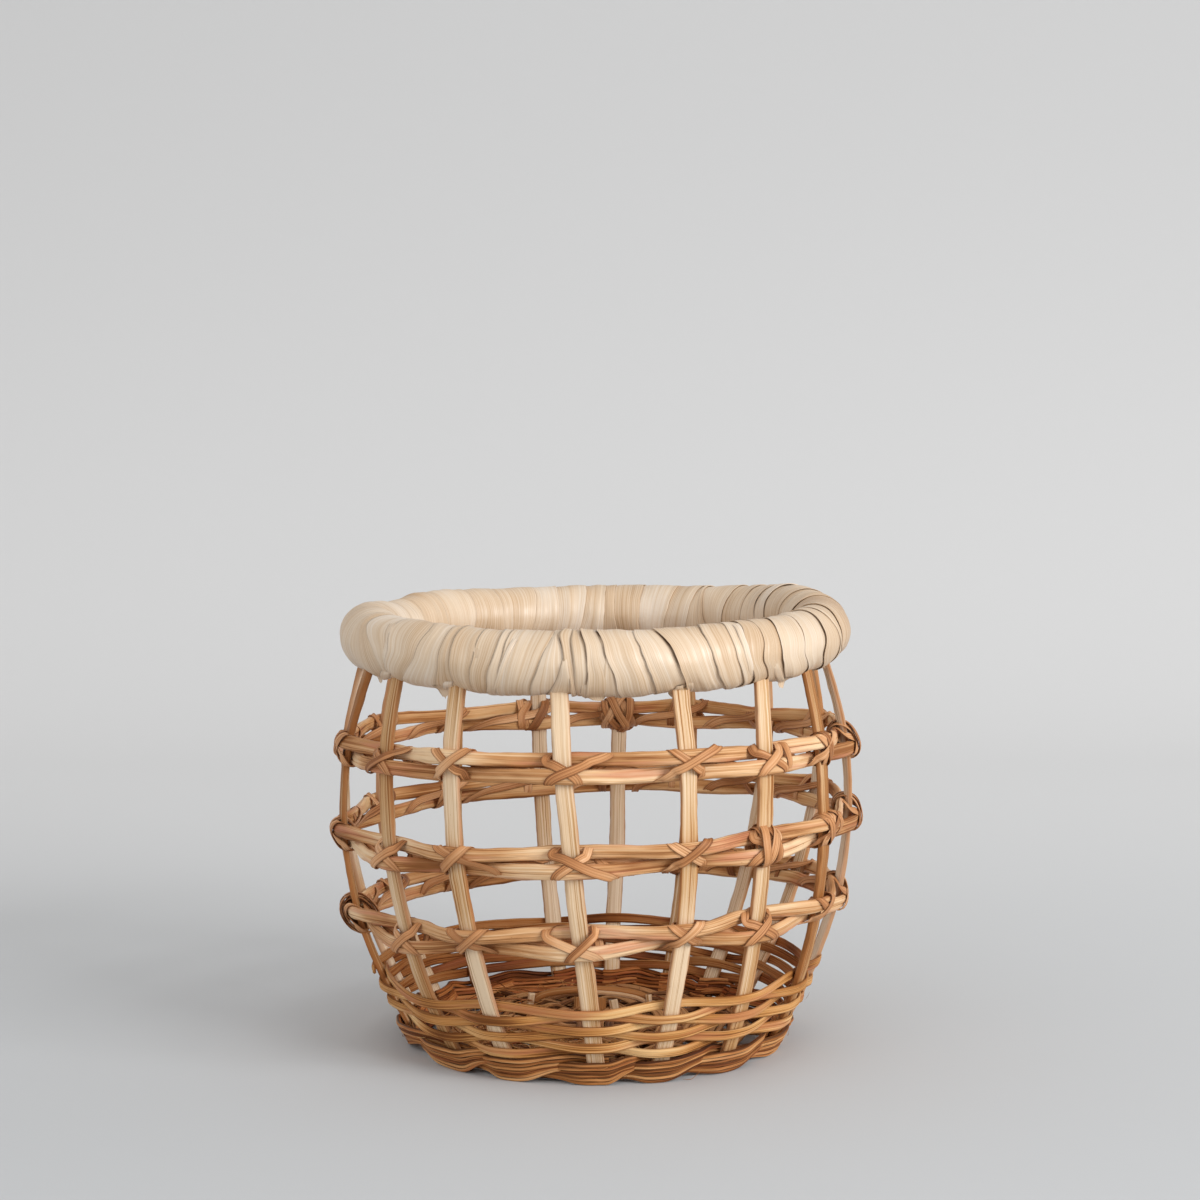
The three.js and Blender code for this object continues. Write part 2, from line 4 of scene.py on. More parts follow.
import bmesh
import bpy
import numpy as np
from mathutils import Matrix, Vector


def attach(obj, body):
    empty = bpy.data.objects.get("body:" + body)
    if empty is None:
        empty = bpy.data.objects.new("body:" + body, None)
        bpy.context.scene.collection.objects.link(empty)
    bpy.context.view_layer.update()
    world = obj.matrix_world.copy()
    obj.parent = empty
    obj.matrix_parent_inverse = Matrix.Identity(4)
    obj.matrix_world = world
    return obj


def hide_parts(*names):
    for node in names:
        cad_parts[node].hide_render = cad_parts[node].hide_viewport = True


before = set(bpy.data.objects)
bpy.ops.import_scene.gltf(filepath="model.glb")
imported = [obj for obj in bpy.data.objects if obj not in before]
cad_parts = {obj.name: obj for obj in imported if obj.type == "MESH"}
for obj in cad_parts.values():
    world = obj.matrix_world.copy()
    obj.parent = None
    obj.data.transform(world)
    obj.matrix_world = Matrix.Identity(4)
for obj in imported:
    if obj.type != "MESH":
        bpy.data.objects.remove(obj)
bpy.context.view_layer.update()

# Looks of an open rattan basket with a leaf-wrapped rim. Shapes are worked out in millimetres
# and written in metres. A bearing is an angle in degrees from the front (-Y) towards +X.
MM = 0.001
SEED = 20240607

# Bearings of each stake at three heights: foot, belly and rim
STAKES = [
    (-88, -79, -69), (-44.5, -50, -54), (-25, -30.5, -33.5), (1, -4.8, -8.6),
    (18.6, 20, 19.5), (42.5, 38.3, 43), (70, 60, 62), (89, 84, 78),
    (125, 115, 107), (141, 135, 130), (155.5, 156, 156), (174.8, 174.3, 173.8),
    (191.6, 193.7, 195.5), (221, 217, 217), (240, 242, 240), (257, 265, 271),
]
COUNT = len(STAKES)
STAKE_LEVELS = (2.0, 116.0, 207.3)
STAKE_FOOT = 2.4
STAKE_HALF = 1.7
# A cane keeps its side of the wall this far on either side of a stake's middle
STAKE_HOLD = 5.45
WALL_LEVELS, WALL_RADII = (2.0, 37.0, 116.0, 207.3), (91.0, 109.0, 127.8, 112.8)
FOOT = 2.0
GAP = 0.3
RIM_RADIUS = 112.8
# Levels: height, rise to the right, rise to the front
RIM = (207.3, 1.3, -2.2)
HOOPS = {"lower_hoop": (72.0, 5.6, 2.8), "middle_hoop": (114.0, 4.9, -0.6), "top_hoop": (154.1, 1.7, 2.7)}
HOOP_CANE_OUT = 3.9
HOOP_CANE_UP = 3.85
HOOP_STEPS = 24 * COUNT
UPWARDS = np.array([0.0, 0.0, 1.0])


# Wall of the basket


def through(z, heights, values):
    """The smoothest curve through values given at some heights."""
    z = np.asarray(z, float)
    total = np.zeros_like(z)
    for height, value in zip(heights, values):
        weight = np.full_like(z, value)
        for other in heights:
            if other != height:
                weight = weight * (z - other) / (height - other)
        total = total + weight
    return total


def wall_radius(z):
    return through(z, WALL_LEVELS, WALL_RADII)


def wall_slope(z):
    z = np.asarray(z, float)
    return wall_radius(z + 0.5) - wall_radius(z - 0.5)


def unit(v):
    return v / np.maximum(np.linalg.norm(v, axis=-1, keepdims=True), 1e-12)


def radial(bearing):
    a = np.radians(bearing)
    return np.stack([np.sin(a), -np.cos(a), np.zeros_like(a)], -1)


def along(bearing):
    a = np.radians(bearing)
    return np.stack([np.cos(a), np.sin(a), np.zeros_like(a)], -1)


def wall_frame(bearing, z):
    """A point of the wall, and the directions along, up and out of it."""
    bearing, z = np.broadcast_arrays(np.asarray(bearing, float), np.asarray(z, float))
    rad, side = radial(bearing), along(bearing)
    up = unit(rad * wall_slope(z)[..., None] + UPWARDS)
    origin = rad * wall_radius(z)[..., None]
    origin[..., 2] = z
    return origin, side, up, np.cross(side, up)


def on_wall(bearing, z, out=0.0, up=0.0):
    """A point that stands out from the wall, and up along it."""
    origin, _, up_axis, out_axis = wall_frame(bearing, z)
    return origin + out_axis * np.asarray(out)[..., None] + up_axis * np.asarray(up)[..., None]


def level_height(level, bearing):
    a = np.radians(bearing)
    return level[0] + level[1] * np.sin(a) + level[2] * np.cos(a)


def stake_bearing(stake, z):
    turns, index = divmod(stake, COUNT)
    return through(z, STAKE_LEVELS, STAKES[index]) + 360 * turns


def past(stake, distance, z):
    """Bearing of a place so many millimetres past a stake."""
    return float(stake_bearing(stake, z) + np.degrees(distance / wall_radius(z)))


def height_at_stake(level, stake):
    return float(level_height(level, stake_bearing(stake, level[0])))


# Small helpers for irregular, hand-made shapes

WAVES = 5


def wobble(s, length, period, amount, rng):
    """Smooth noise along a line; it closes on itself where s runs over the whole length."""
    total = np.zeros_like(np.asarray(s, float))
    for _ in range(WAVES):
        turns = max(1, round(length / period * rng.uniform(0.5, 1.7)))
        total = total + np.sin(2 * np.pi * (turns * s / length + rng.uniform()))
    return total * amount / math.sqrt(WAVES)


def smooth_steps(x, xs, ys):
    """Interpolates like np.interp, with a soft start and end to each step."""
    xs, ys = np.asarray(xs, float), np.asarray(ys, float)
    i = np.clip(np.searchsorted(xs, x, side="right") - 1, 0, len(xs) - 2)
    t = np.clip((x - xs[i]) / np.maximum(xs[i + 1] - xs[i], 1e-9), 0, 1)
    t = t * t * (3 - 2 * t)
    return ys[i] + (ys[i + 1] - ys[i]) * t


def blur_line(values, passes, closed):
    v = np.array(values, float)
    for _ in range(passes):
        if closed:
            v = (np.roll(v, 1, 0) + 2 * v + np.roll(v, -1, 0)) / 4
        else:
            v[1:-1] = (v[:-2] + 2 * v[1:-1] + v[2:]) / 4
    return v


def spline(points, steps):
    """A curve through the points with the given steps for each span, held back where spans are short."""
    p = np.asarray(points, float)
    t = np.linspace(0, 1, steps, endpoint=False)[:, None]
    h = t * t * (3 - 2 * t)
    rows = []
    for i in range(len(p) - 1):
        a, b, c, d = p[max(i - 1, 0)], p[i], p[i + 1], p[min(i + 2, len(p) - 1)]
        m1, m2 = 0.5 * (c - a), 0.5 * (d - b)
        longest = 1.2 * np.linalg.norm(c - b)
        for m in (m1, m2):
            m *= min(1.0, longest / np.linalg.norm(m))
        rows.append(b * (1 - h) + c * h + m1 * (t**3 - 2 * t**2 + t) + m2 * (t**3 - t**2))
    return np.vstack(rows + [p[-1:]])


def straight_between(x, marks, posts):
    """Points on the straight lines from post to post."""
    return np.stack([np.interp(x, marks, posts[:, k]) for k in range(3)], -1)


def travelled(points):
    return np.append(0, np.cumsum(np.linalg.norm(np.diff(points, axis=0), axis=1)))


def oval(width, thickness, sides=12, power=2.5):
    """Section of a cane or strip: [(across, outwards)], counter-clockwise."""
    a = 2 * np.pi * (np.arange(sides) + 0.5) / sides
    return np.stack([size / 2 * np.sign(c) * np.abs(c) ** (2 / power)
                     for size, c in ((width, np.cos(a)), (thickness, np.sin(a)))], -1)


def ribbed(width, thickness, ribs, depth, samples=15, power=2.8, under=9):
    """Section of a split cane, evenly sampled, with fibres standing out along its outer side."""
    x = np.linspace(1, -1, samples)
    back = np.linspace(-1, 1, under + 2)[1:-1]
    upper, lower = (thickness / 2 * (1 - np.abs(v) ** power) ** (1 / power) for v in (x, back))
    upper = upper + depth * np.cos(np.pi * ribs * x) * (1 - x ** 4)
    return np.stack([width / 2 * np.append(x, back), np.append(upper, -lower)], -1)


def uneven(section, amount, rng):
    return section * (1 + rng.normal(0, amount, section.shape))


def added(name, data):
    """Puts a new object into the scene."""
    made = bpy.data.objects.new(name, data)
    bpy.context.scene.collection.objects.link(made)
    return made


def added_mesh(name, points, faces, material):
    mesh = bpy.data.meshes.new(name)
    mesh.from_pydata(points, [], faces)
    mesh.polygons.foreach_set("use_smooth", [True] * len(faces))
    mesh.materials.append(material)
    return added(name, mesh)


class Piece:
    """Collects swept shapes into one mesh, with UVs in metres: u along, v across."""

    def __init__(self, seed):
        self.rng = np.random.default_rng([SEED, seed])
        self.points, self.faces, self.uvs = [], [], []
        self.values = {"tone": [], "side": [], "inner": []}
        self.count = 0

    def skin(self, rings, closed=False, tone=None, side=0.0, inner=0.0, across=None):
        """Covers rows of points: a tube, a closed ring, or a sheet where across gives its places."""
        rings = np.asarray(rings, float)
        n, m = rings.shape[:2]
        tone = self.rng.uniform() if tone is None else tone
        middle, row = rings.mean(1), rings[n // 2]
        u = travelled(np.vstack([middle, middle[:1]]) if closed else middle) + self.rng.uniform(0, 900)
        is_tube = across is None
        if is_tube:
            across = travelled(np.vstack([row, row[:1]]))
        i, j = np.indices((n if closed else n - 1, m if is_tube else m - 1))
        corners = [(i, j), (i + 1, j), (i + 1, j + 1), (i, j + 1)]
        quads = np.stack([a % n * m + b % m for a, b in corners], -1)
        places = np.stack([np.stack([u[a], across[b]], -1) for a, b in corners], -2)
        self.faces += (quads.reshape(-1, 4) + self.count).tolist()
        self.uvs.append(places.reshape(-1, 2) * MM)
        if is_tube and not closed:
            for end, order in ((0, range(m)), (n - 1, range(m - 1, -1, -1))):
                self.faces.append([self.count + end * m + k for k in order])
                self.uvs.append(np.array([[u[end] + k * 0.3, across[k]] for k in order]) * MM)
        self.points.append(rings.reshape(-1, 3))
        for label, value in (("tone", np.reshape(tone, (-1, 1))), ("side", side), ("inner", inner)):
            self.values[label].append(np.broadcast_to(value, (n, m)).reshape(-1))
        self.count += n * m

    def sweep(self, points, hint, section, closed=False, wide=1.0, thick=1.0, twist=0.0, worn=0.0, **more):
        """Sweeps a section along a line, its width near the hint and turned by twist, with worn dents."""
        run = np.roll(points, -1, 0) - np.roll(points, 1, 0) if closed else np.gradient(points, axis=0)
        run = unit(run)
        a = unit(hint - (hint * run).sum(-1, keepdims=True) * run)
        b = np.cross(run, a)
        twist, wide, thick = (np.broadcast_to(v, len(points))[:, None] for v in (twist, wide, thick))
        a, b = a * np.cos(twist) + b * np.sin(twist), b * np.cos(twist) - a * np.sin(twist)
        rings = (points[:, None] + a[:, None] * section[:, :1] * wide[..., None]
                 + b[:, None] * section[:, 1:] * thick[..., None])
        if worn:
            dents = blur_line(self.rng.normal(0, worn, rings.shape[:2]), 3, closed)
            rings = rings + unit(rings - points[:, None]) * dents[..., None]
        # side marks the edges and inner the back of the section, where the materials paint shade
        side = section[:, 0] / np.abs(section[:, 0]).max()
        inner = section[:, 1] < 0.3 * section[:, 1].min()
        self.skin(rings, closed=closed, side=side, inner=inner, **more)

    def build(self, name, material, replaces=(), outwards=True):
        made = added_mesh(name, (np.vstack(self.points) * MM).tolist(), self.faces, material)
        mesh = made.data
        uvs = np.vstack(self.uvs).astype(np.float32).ravel()
        mesh.uv_layers.new(name="UVMap").data.foreach_set("uv", uvs)
        for label, values in self.values.items():
            attribute = mesh.attributes.new(label, "FLOAT", "POINT")
            attribute.data.foreach_set("value", np.concatenate(values).astype(np.float32))
        if outwards:
            work = bmesh.new()
            work.from_mesh(mesh)
            bmesh.ops.recalc_face_normals(work, faces=work.faces)
            work.to_mesh(mesh)
            work.free()
        mesh.update()
        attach(made, "root")
        if replaces:
            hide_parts(*replaces)


# Materials


def srgb(r, g, b):
    return tuple((c / 12.92 if c <= 0.04045 else ((c + 0.055) / 1.055) ** 2.4)
                 for c in (r / 255, g / 255, b / 255)) + (1.0,)


class Net:
    """A material's node tree, with short calls for the nodes used here."""

    def __init__(self, name):
        self.material = bpy.data.materials.new(name)
        self.material.use_nodes = True
        self.tree = self.material.node_tree
        self.tree.nodes.clear()
        self.shader = self.make("BsdfPrincipled")
        self.make("OutputMaterial", {0: self.shader.outputs[0]})

    def fill(self, node, values):
        """Links or sets a node's inputs, by number or name."""
        for key, value in dict(values).items():
            if isinstance(value, bpy.types.NodeSocket):
                self.tree.links.new(value, node.inputs[key])
            else:
                node.inputs[key].default_value = value

    def make(self, kind, values=(), **settings):
        node = self.tree.nodes.new("ShaderNode" + kind)
        for key, value in settings.items():
            setattr(node, key, value)
        self.fill(node, values)
        return node

    def math(self, operation, *values):
        return self.make("Math", enumerate(values), operation=operation).outputs[0]

    def mix(self, factor, a, b, blend="MIX"):
        return self.make("Mix", {0: factor, 6: a, 7: b}, data_type="RGBA", blend_type=blend).outputs[2]

    def tint(self, colour, where, amount, *other):
        return self.mix(self.math("MULTIPLY", where, amount), colour, srgb(*other))

    def range(self, value, low, high, to_low=0.0, to_high=1.0):
        values = enumerate((value, low, high, to_low, to_high))
        return self.make("MapRange", values, interpolation_type="SMOOTHSTEP").outputs[0]

    def ramp(self, value, stops):
        node = self.make("ValToRGB", {0: value})
        band = node.color_ramp
        band.interpolation = "EASE"
        while len(band.elements) < len(stops):
            band.elements.new(0.5)
        for element, (place, *colour) in zip(band.elements, stops):
            element.position = place
            element.color = srgb(*colour)
        return node.outputs[0]

    def attribute(self, name):
        return self.make("Attribute", attribute_name=name).outputs["Fac"]

    def split(self, vector):
        return self.make("SeparateXYZ", {0: vector}).outputs


def fibre_material(name, stops, fine=(28, 1500), broad=(9, 380), patch=(22, 60), shares=(0.38, 0.36, 0.26),
                   tone_share=0.25, line=(0.35,), red=None, pits=0.0, edge=None, edge_power=8.0, inner=None,
                   rough=(0.5, 0.75), depth=0.00012, specular=0.2):
    """Plant fibre: grain along u, broad streaks, patches, dark lines, pits, and painted shade on the edges
    and the inner side.

    stops are (place, r, g, b); line, red and edge are (amount, r, g, b); fine, broad and patch are
    streaks for each metre along and across.
    """
    net = Net(name)
    u, v, _ = net.split(net.make("UVMap", uv_map="UVMap").outputs[0])

    def streaks(scales, offset, detail, roughness):
        place = net.make("CombineXYZ", {
            0: net.math("MULTIPLY_ADD", u, scales[0], offset), 1: net.math("MULTIPLY", v, scales[1])})
        values = {"Vector": place.outputs[0], "Scale": 1.0, "Detail": detail, "Roughness": roughness}
        return net.make("TexNoise", values).outputs["Fac"]

    grain = streaks(fine, 3.0, 3.0, 0.6)
    bands = streaks(broad, 7.0, 3.0, 0.55)
    patches = streaks(patch, 11.0, 2.0, 0.5)
    total = net.math("MULTIPLY", net.math("SUBTRACT", net.attribute("tone"), 0.5), tone_share)
    for layer, share in zip((grain, bands, patches), shares):
        total = net.math("MULTIPLY_ADD", layer, share, total)
    colour = net.ramp(net.range(total, 0.34, 0.66), stops)
    if red:
        reds = streaks((patch[0] * 0.7, patch[1] * 1.3), 23.0, 2.0, 0.5)
        colour = net.tint(colour, net.range(reds, 0.5, 0.68), *red)
    dark = line[1:] or stops[0][1:]
    lines = net.range(net.math("MULTIPLY", net.math("ADD", grain, bands), 0.5), 0.44, 0.36)
    colour = net.tint(colour, lines, line[0], *dark)
    # Painted shade: the edge colour darkens the sides of a cane or strip, as marked by the side attribute
    if edge:
        edges = net.math("POWER", net.math("ABSOLUTE", net.attribute("side")), edge_power)
        colour = net.tint(colour, edges, *edge)
    height = net.math("MULTIPLY_ADD", grain, 0.7, net.math("MULTIPLY", bands, 0.9))
    if pits:
        spots = net.range(streaks((420, 520), 0.0, 2.0, 0.5), 0.71, 0.77)
        colour = net.tint(colour, spots, pits, *dark)
        height = net.math("MULTIPLY_ADD", spots, -0.8, height)
    # Painted shade: the inner colour darkens the side that faces into the basket, where it lies in shade
    if inner:
        colour = net.mix(net.attribute("inner"), colour, (*inner, 1), "MULTIPLY")
    net.fill(net.shader, {
        "Base Color": colour,
        "Roughness": net.range(bands, 0.35, 0.65, rough[1], rough[0]),
        "Specular IOR Level": specular,
        "Normal": net.make("Bump", {"Height": height, "Distance": depth, "Strength": 1.0}).outputs[0],
    })
    return net.material


# Leaf: the edge colour is painted shadow, laid by the side attribute on each lap's edge and skirt, under the
# next strip's edge, and along flaps and tabs
leaf = fibre_material(
    "leaf_strip",
    [(0.0, 186, 151, 114), (0.3, 206, 178, 146), (0.65, 217, 194, 167), (1.0, 226, 209, 190)],
    fine=(9, 1700), broad=(4, 520), patch=(14, 22), shares=(0.42, 0.17, 0.41), tone_share=0.36,
    line=(0.16, 180, 142, 100), edge=(0.95, 84, 50, 24), edge_power=1.0,
    rough=(0.38, 0.56), depth=0.00014, specular=0.62)
# Stakes: the edge colour is painted shade on the cane's sides, and the inner colour painted shade on its
# back, which faces into the basket
stake_finish_and_shade = fibre_material(
    "stake_cane",
    [(0.0, 160, 106, 56), (0.28, 203, 162, 114), (0.6, 223, 195, 162), (1.0, 240, 219, 192)],
    fine=(7, 2300), broad=(5, 900), patch=(9, 110), shares=(0.44, 0.34, 0.22), tone_share=0.4,
    line=(0.85, 146, 96, 52), edge=(0.8, 172, 112, 64), inner=(0.92, 0.87, 0.8),
    rough=(0.48, 0.7), depth=0.00016, pits=0.3)
# Hoops: the inner colour is painted shade, warmer and darker, on the side that faces into the basket
hoop_finish_and_shade = fibre_material(
    "hoop_cane",
    [(0.0, 142, 88, 44), (0.3, 190, 137, 88), (0.65, 215, 170, 124), (1.0, 234, 200, 159)],
    fine=(10, 1700), broad=(6, 560), patch=(24, 130), shares=(0.34, 0.32, 0.34),
    line=(0.85, 128, 78, 42), red=(0.6, 198, 128, 96), pits=0.4, inner=(1.0, 0.93, 0.8),
    rough=(0.48, 0.7), depth=0.00026, specular=0.24)
# Lashing: the edge colour is painted shade along the strip's sides
lashing_finish_and_shade = fibre_material(
    "lashing_strip",
    [(0.0, 134, 82, 44), (0.35, 176, 118, 72), (0.7, 202, 146, 98), (1.0, 222, 174, 130)],
    fine=(10, 3000), broad=(6, 1300), patch=(18, 120), line=(0.75, 112, 66, 32),
    edge=(0.8, 112, 66, 34), rough=(0.42, 0.62), depth=0.0002, specular=0.28)
# Side weave: the edge colour is painted shade on the weavers' sides, and the strong inner colour painted
# shade on the side that faces into the basket
weave_finish_and_shade = fibre_material(
    "base_weave",
    [(0.0, 118, 68, 26), (0.3, 181, 123, 64), (0.65, 208, 154, 94), (1.0, 229, 187, 131)],
    fine=(12, 2500), broad=(6, 1000), patch=(24, 110), shares=(0.46, 0.32, 0.22),
    line=(1.0, 104, 60, 26), red=(0.65, 184, 116, 78), edge=(0.6, 116, 66, 30),
    inner=(0.6, 0.44, 0.34), rough=(0.52, 0.8), depth=0.0003)
# Border: the edge colour is painted shade in the gaps between strands, and the inner colour painted shade on
# the side that faces in
border_finish_and_shade = fibre_material(
    "border_cane",
    [(0.0, 92, 48, 18), (0.3, 150, 92, 44), (0.65, 188, 126, 70), (1.0, 220, 166, 110)],
    fine=(9, 2100), broad=(5, 800), patch=(22, 100), line=(0.85, 80, 40, 16),
    red=(0.5, 168, 92, 52), edge=(0.9, 66, 34, 14), edge_power=4.0,
    inner=(0.85, 0.68, 0.56), rough=(0.5, 0.78), depth=0.0002)
# Floor: the canes' own brown, made darker as painted shade for the floor inside the basket; the edge colour
# is painted shade on their sides
floor_finish_and_shade = fibre_material(
    "floor_cane",
    [(0.0, 82, 48, 26), (0.35, 128, 82, 46), (0.7, 162, 110, 66), (1.0, 190, 140, 92)],
    fine=(16, 2000), broad=(8, 700), patch=(22, 110), line=(0.55, 74, 42, 22),
    red=(0.4, 146, 84, 52), edge=(0.3, 82, 50, 28), rough=(0.55, 0.8), depth=0.0002)
core_finish = fibre_material(
    "rim_core", [(0.0, 120, 84, 50), (0.5, 160, 120, 78), (1.0, 190, 150, 104)])


# Camera: fitted to the ellipses of the rim, the hoops and the base edge

CAMERA_AT = (2.6, -1327.0, 329.0)
CAMERA_DOWN = 4.5
PICTURE = 1200
# Focal length in pixels of the picture
FOCAL = 2633
SENSOR = 36

camera_data = bpy.data.cameras.new("photo_camera")
camera = added("photo_camera", camera_data)
camera.location = [c * MM for c in CAMERA_AT]
camera.rotation_euler = (math.radians(90 - CAMERA_DOWN), 0, 0)
camera_data.sensor_width = SENSOR
camera_data.lens = FOCAL * SENSOR / PICTURE
camera_data.clip_start, camera_data.clip_end = 0.05, 50
bpy.context.scene.camera = camera


def photo_place(points):
    """Where points in millimetres land in the photograph, in pixels."""
    x, y, z = np.moveaxis(np.asarray(points, float) - CAMERA_AT, -1, 0)
    tilt = math.radians(CAMERA_DOWN)
    depth = y * math.cos(tilt) - z * math.sin(tilt)
    up = z * math.cos(tilt) + y * math.sin(tilt)
    return PICTURE / 2 + FOCAL * x / depth, PICTURE / 2 - FOCAL * up / depth


# Rim

RIM_ROLL = 15.5
RIM_SAG = 1.4
# The strips stay this far from the middle of the roll, outside the core of 12.8 mm
RIM_LEAST = 13.7
# Places where the rim stands higher or lower: (bearing, spread in degrees, rise)
RIM_RISES = [(112.0, 15.0, 4.2), (-113.0, 9.0, -3.0)]
RIM_STAKES = [float(stake_bearing(i, RIM[0] - 12)) for i in range(COUNT)]
# Widths across the roll are read at its outside
RIM_OUTSIDE = 127
# At the front the roll is seen from this many degrees above
RIM_VIEW = 5.9
RIM_TURNS = np.arange(-120, 241, 6.0)
rim_rng = np.random.default_rng([SEED, 1])
rim_waves = [(rim_rng.integers(3, 12), rim_rng.integers(-2, 3), rim_rng.uniform(0, 6.28)) for _ in range(9)]


def turned(bearing, other):
    """Degrees from one bearing to another, from -180 to 180."""
    return (np.asarray(bearing) - other + 180) % 360 - 180


def rim_point(bearing, turn, lift=0.0):
    """Point on the wound rim: turn 0 looks outwards, 90 up, 180 inwards (degrees)."""
    bearing, turn, lift = np.broadcast_arrays(*(np.asarray(a, float) for a in (bearing, turn, lift)))
    b, t = np.radians(bearing), np.radians(turn)
    lumps = sum(np.sin(k * b + m * t + f) for k, m, f in rim_waves) / 3
    # The strip is drawn in below, where it meets the stakes
    gap = np.min([np.abs(turned(bearing, stake)) for stake in RIM_STAKES], axis=0)
    drawn_in = np.exp(-((np.radians(gap) * RIM_RADIUS / 8.5) ** 2)) * np.clip(-np.sin(t) * 1.4, 0, 1)
    radius = RIM_ROLL + 0.3 * lumps - 1.7 * drawn_in + lift
    swell = 0.35 * np.sin(5 * b + 1.1) + 0.3 * np.sin(8 * b + 2.0)
    rise = swell * 0.5 - RIM_SAG * np.cos(2 * b)
    for middle, spread, amount in RIM_RISES:
        rise = rise + amount * np.exp(-((turned(bearing, middle) / spread) ** 2))
    out, up = swell * 0.6 + radius * np.cos(t), rise + radius * np.sin(t)
    reach = np.hypot(out, up)
    grow = 1 + 0.4 * np.logaddexp(0, (RIM_LEAST + 0.5 * lift - reach) / 0.4) / reach
    points = radial(bearing) * (RIM_RADIUS + out * grow)[..., None]
    points[..., 2] = level_height(RIM, bearing) + up * grow
    return points


def bearing_at(px, turn, low=-88.0, high=88.0):
    """Bearing at which the rim's surface at a turn lands on a column of the photograph."""
    tries = np.linspace(low, high, 1761)
    x, _ = photo_place(rim_point(tries, turn))
    way = 1 if x[0] < x[-1] else -1
    return float(np.interp(px, x[::way], tries[::way]))


# Edges of the strips that show in front: (strength, which sets the step and the painted shadow at the edge,
# tone of the strip left of it, [(column, share of the way down the roll)])
FRONT_EDGES = [
    (0.3, 0.62, [(367, 0.1), (373, 0.4), (380, 0.65), (390, 0.95)]),
    (0.3, 0.66, [(394, 0.05), (388, 0.4), (386, 0.75)]),
    (0.2, 0.58, [(430, 0.05), (414, 0.45), (403, 0.9)]),
    (0.25, 0.55, [(449, 0.05), (438, 0.5), (436, 0.9)]),
    (0.7, 0.5, [(465, 0.0), (451, 0.3), (450, 0.6), (463, 0.95)]),
    (0.2, 0.48, [(478, 0.1), (471, 0.4), (473, 0.9)]),
    (0.6, 0.46, [(500, 0.1), (490, 0.45), (487, 0.9)]),
    (0.45, 0.6, [(513, 0.0), (503, 0.3), (497, 0.6), (498, 0.95)]),
    (0.85, 0.52, [(559, 0.05), (565, 0.4), (570, 0.7), (572, 0.98)]),
    (0.3, 0.42, [(570, 0.1), (574, 0.5), (577, 0.95)]),
    (0.9, 0.46, [(580, 0.0), (587, 0.3), (588, 0.55), (585, 0.95)]),
    (0.85, 0.5, [(596, 0.0), (607, 0.35), (614, 0.6), (621, 0.97)]),
    (0.2, 0.56, [(633, 0.05), (648, 0.5), (658, 0.97)]),
    (1.0, 0.48, [(652, 0.0), (670, 0.2), (680, 0.5), (688, 0.97)]),
    (0.3, 0.44, [(701, 0.05), (713, 0.4), (721, 0.75), (725, 1.0)]),
    (0.25, 0.5, [(727, 0.05), (737, 0.45), (744, 0.9)]),
    (0.45, 0.6, [(736, 0.0), (745, 0.3), (751, 0.6), (753, 0.95)]),
    (0.2, 0.36, [(758, 0.05), (763, 0.5), (769, 0.9)]),
    (0.5, 0.42, [(776, 0.1), (781, 0.5), (784, 0.8), (780, 1.0)]),
    (0.15, 0.56, [(800, 0.1), (804, 0.5), (804, 0.95)]),
    (0.45, 0.6, [(821, 0.15), (823, 0.6), (819, 0.95)]),
    (0.25, 0.55, [(838, 0.2), (841, 0.6), (838, 0.9)]),
]
# Edges on the inner side of the back, read at one turn each: (strength, column)
BACK_EDGES = [
    (0.4, 440), (0.7, 468), (0.5, 500), (0.25, 530), (0.2, 557), (0.15, 580), (0.3, 604), (0.5, 617),
    (0.2, 641), (0.35, 667), (0.15, 690), (0.4, 728), (0.15, 748), (0.8, 774),
]
# Flaps and tucks that lie over the strips: left edge, right edge as (column, turn), and lift
FLAPS = [
    ([(563, 16), (557, -20), (550, -55), (544, -92)], [(567, 16), (571, -20), (573, -55), (573, -88)], 0.9),
    ([(605, 16), (602, -10), (598, -40), (594, -75)], [(609, 16), (614, -10), (618, -40), (621, -75)], 0.6),
    ([(513, 52), (503, 15), (496, -20), (492, -60)], [(518, 50), (509, 15), (502, -20), (498, -58)], 0.7),
    ([(581, -35), (580, -60), (582, -85)], [(590, -35), (592, -60), (592, -90)], 0.8),
    ([(676, -48), (672, -70), (668, -98)], [(684, -46), (683, -70), (680, -92)], 0.8),
    ([(686, -40), (686, -62), (687, -84)], [(694, -36), (694, -60), (692, -84)], 0.6),
    ([(732, 74), (738, 40), (744, 5), (748, -40)], [(739, 76), (745, 40), (751, 5), (754, -40)], 0.6),
    ([(772, -20), (774, -50), (776, -84)], [(779, -14), (783, -50), (784, -86)], 0.7),
    ([(381, -42), (380, -65), (381, -96)], [(391, -40), (391, -65), (389, -90)], 0.9),
    ([(443, -45), (443, -70), (446, -98)], [(453, -42), (454, -70), (453, -92)], 0.9),
    ([(389, 60), (385, 20), (383, -20)], [(396, 60), (391, 20), (388, -20)], 0.4),
]

# Frayed ends of leaf that hang off the underside: (column, width, drop, sway) in pixels and millimetres
TABS = [
    (355, 6.0, 0.4, -0.5), (382, 8.0, 0.8, 0.6), (446, 8.0, 2.4, 0.8), (596, 9.0, 0.4, 0.6),
    (674, 8.0, 1.6, 0.8), (779, 6.0, 1.4, 0.3), (822, 5.0, 0.6, -0.4),
]


def front_edge(marks):
    """Bearings of an edge round the roll, from its marks in front."""
    spots = []
    for px, share in marks:
        turn = math.degrees(math.asin(1 - 2 * share)) - RIM_VIEW
        spots.append((turn, bearing_at(px, turn)))
    t, b = np.array(sorted(spots)).T
    inner = b[-1] * 0.7 + b[0] * 0.3
    t = np.concatenate([[t[-1] - 300], t, [t[-1] + 60]])
    b = np.concatenate([[inner], b, [inner]])
    line = np.interp(RIM_TURNS, np.concatenate([t - 360, t, t + 360]), np.tile(b, 3))
    return blur_line(line, 2, False)


